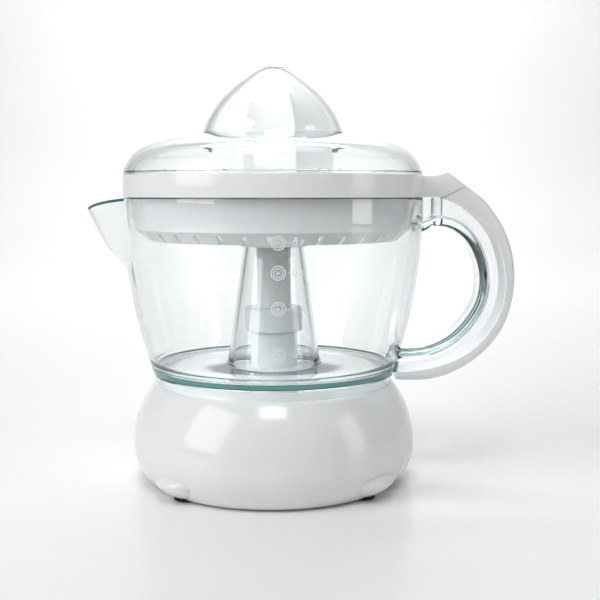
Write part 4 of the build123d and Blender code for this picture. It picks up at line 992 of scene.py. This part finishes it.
pad_levels = [(0.01, 0.0), (5.9, 0.0), (6.3, 0.15), (6.5, 0.5), (6.5, 2.2), (0.01, 2.2)]
pad_points, pad_faces = lathe(pad_levels, 64, False)
pad_x, pad_y = FOOT_CIRCLE * math.cos(FOOT_ANGLE), FOOT_CIRCLE * math.sin(FOOT_ANGLE)
pad = solid("foot_pad", [(x + pad_x, y + pad_y, z) for x, y, z in pad_points], pad_faces, foot_rubber)
pads = grow("foot_pads_rubber", pad.data, copies_tree, foot_rubber, Copies=4)
bpy.data.objects.remove(pad)
settle(pads, "base", "foot_pads", slot="foot_rubber")

gland_levels = [(3.3, 61.45), (3.3, 72.35), (3.8, 72.35), (5.6, 72.33), (6.3, 71.9), (6.5, 71.2), (6.5, 69.4),
                (4.5, 69.35), (4.5, 61.45)]
gland_points, gland_faces = lathe(gland_levels, 64)
gland = solid("cord_gland_ring", [(x, z, INLET_HEIGHT + y) for x, y, z in gland_points], gland_faces, gland_rubber)
settle(gland, "base", "cord_gland", slot="gland_rubber")

# ---- finishes of the CAD nodes that stay ----

node_finishes = [
    (satin_abs, "bottom_cover gear_plate gearbox_cover"),
    (acetal, "neck_bush output_gear second_gear first_gear rotor_pinion"),
    (turned_steel, "bottom_screws plate_screws motor_screws gear_pins lever_pin spindle_clip rotor_shaft"),
    (zinc_steel, "motor_bracket switch_lever"), (brass, "terminal_screws"), (bronze, "rotor_bushes"),
    (ferrite, "rotor_magnet"), (laminations, "stator_core"), (black_nylon, "coil_bobbins switch_body"),
    (copper_wire, "coil_windings"), (red_acetal, "switch_plunger"), (terminal_nylon, "terminal_block"),
]
for finish, nodes in node_finishes:
    for node in nodes.split():
        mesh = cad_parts[node].data
        mesh.materials.clear()
        mesh.materials.append(finish)

# ---- floor, light and camera ----


def studio_floor():
    """A white sweep: level under the press, curving up behind it."""
    profile = [(-2.5, 0.0), (1.2, 0.0)] + [(1.2 + 0.9 * math.sin(a), 0.9 - 0.9 * math.cos(a))
                                           for a in (math.pi / 2 * k / 12 for k in range(1, 13))] + [(2.1, 3.0)]
    points = [(x, y, z) for y, z in profile for x in (-4.0, 4.0)]
    faces = [(2 * i, 2 * i + 1, 2 * i + 3, 2 * i + 2) for i in range(len(profile) - 1)]
    mesh = bpy.data.meshes.new("studio_sweep")
    mesh.from_pydata(points, [], faces)
    mesh.shade_smooth()
    sweep = bpy.data.objects.new("studio_sweep", mesh)
    bpy.context.scene.collection.objects.link(sweep)
    return sweep


paper, paper_tree, paper_place = new_material("white_acrylic_table")
paper_noise = add_node(paper_tree, "ShaderNodeTexNoise", Vector=paper_place, Scale=6.0)
paper_tint = tinted(paper_tree, paper_noise, "#F6F6F6", "#F8F8F8", 0.3, 0.7)
paper_shader = add_node(paper_tree, "ShaderNodeBsdfPrincipled", Base_Color=paper_tint, Roughness=0.28)
finish_material(paper_tree, paper_shader)
floor = studio_floor()
floor.data.materials.append(paper)


def softbox(name, place, aim, width, height, power):
    lamp = bpy.data.lights.new(name, "AREA")
    lamp.shape = "RECTANGLE"
    lamp.size, lamp.size_y, lamp.energy = width, height, power
    holder = bpy.data.objects.new(name, lamp)
    holder.location = place
    holder.rotation_euler = (Vector(aim) - Vector(place)).to_track_quat("-Z", "Y").to_euler()
    bpy.context.scene.collection.objects.link(holder)
    return holder


softbox("left_softbox", (-1.15, -0.75, 0.75), (0, 0, 0.12), 0.9, 1.3, 12)
softbox("front_softbox", (0.0, -0.75, 1.25), (0, 0, 0.12), 0.46, 0.5, 5.5)
softbox("right_softbox", (1.45, -0.55, 0.55), (0, 0, 0.12), 0.5, 1.1, 4)
softbox("top_softbox", (-0.05, 0.05, 1.5), (0, 0, 0.1), 1.1, 0.7, 3.5)
softbox("backdrop_light", (0, 0.9, 1.6), (0, 2.1, 0.4), 1.2, 0.6, 24)

world = bpy.data.worlds.new("studio")
bpy.context.scene.world = world
world.use_nodes = True
room = world.node_tree
room.nodes.clear()
way = add_node(room, "ShaderNodeTexCoord").outputs["Generated"]
way_parts = add_node(room, "ShaderNodeSeparateXYZ", Vector=way)
room_tint = tinted(room, way_parts.outputs["Y"], "#5C5D60", "#FFFFFF", 0.1, 0.9)
background = add_node(room, "ShaderNodeBackground", Color=room_tint, Strength=0.55)
add_node(room, "ShaderNodeOutputWorld", Surface=background.outputs[0])

camera_data = bpy.data.cameras.new("camera")
camera_data.sensor_width = 36
camera_data.lens = 59.4
camera = bpy.data.objects.new("camera", camera_data)
camera.location = (0.0134, -0.503, 0.1453)
camera.rotation_euler = (math.radians(90 - 6.18), 0, 0)
bpy.context.scene.collection.objects.link(camera)
bpy.context.scene.camera = camera
bpy.context.scene.view_settings.view_transform = "Standard"
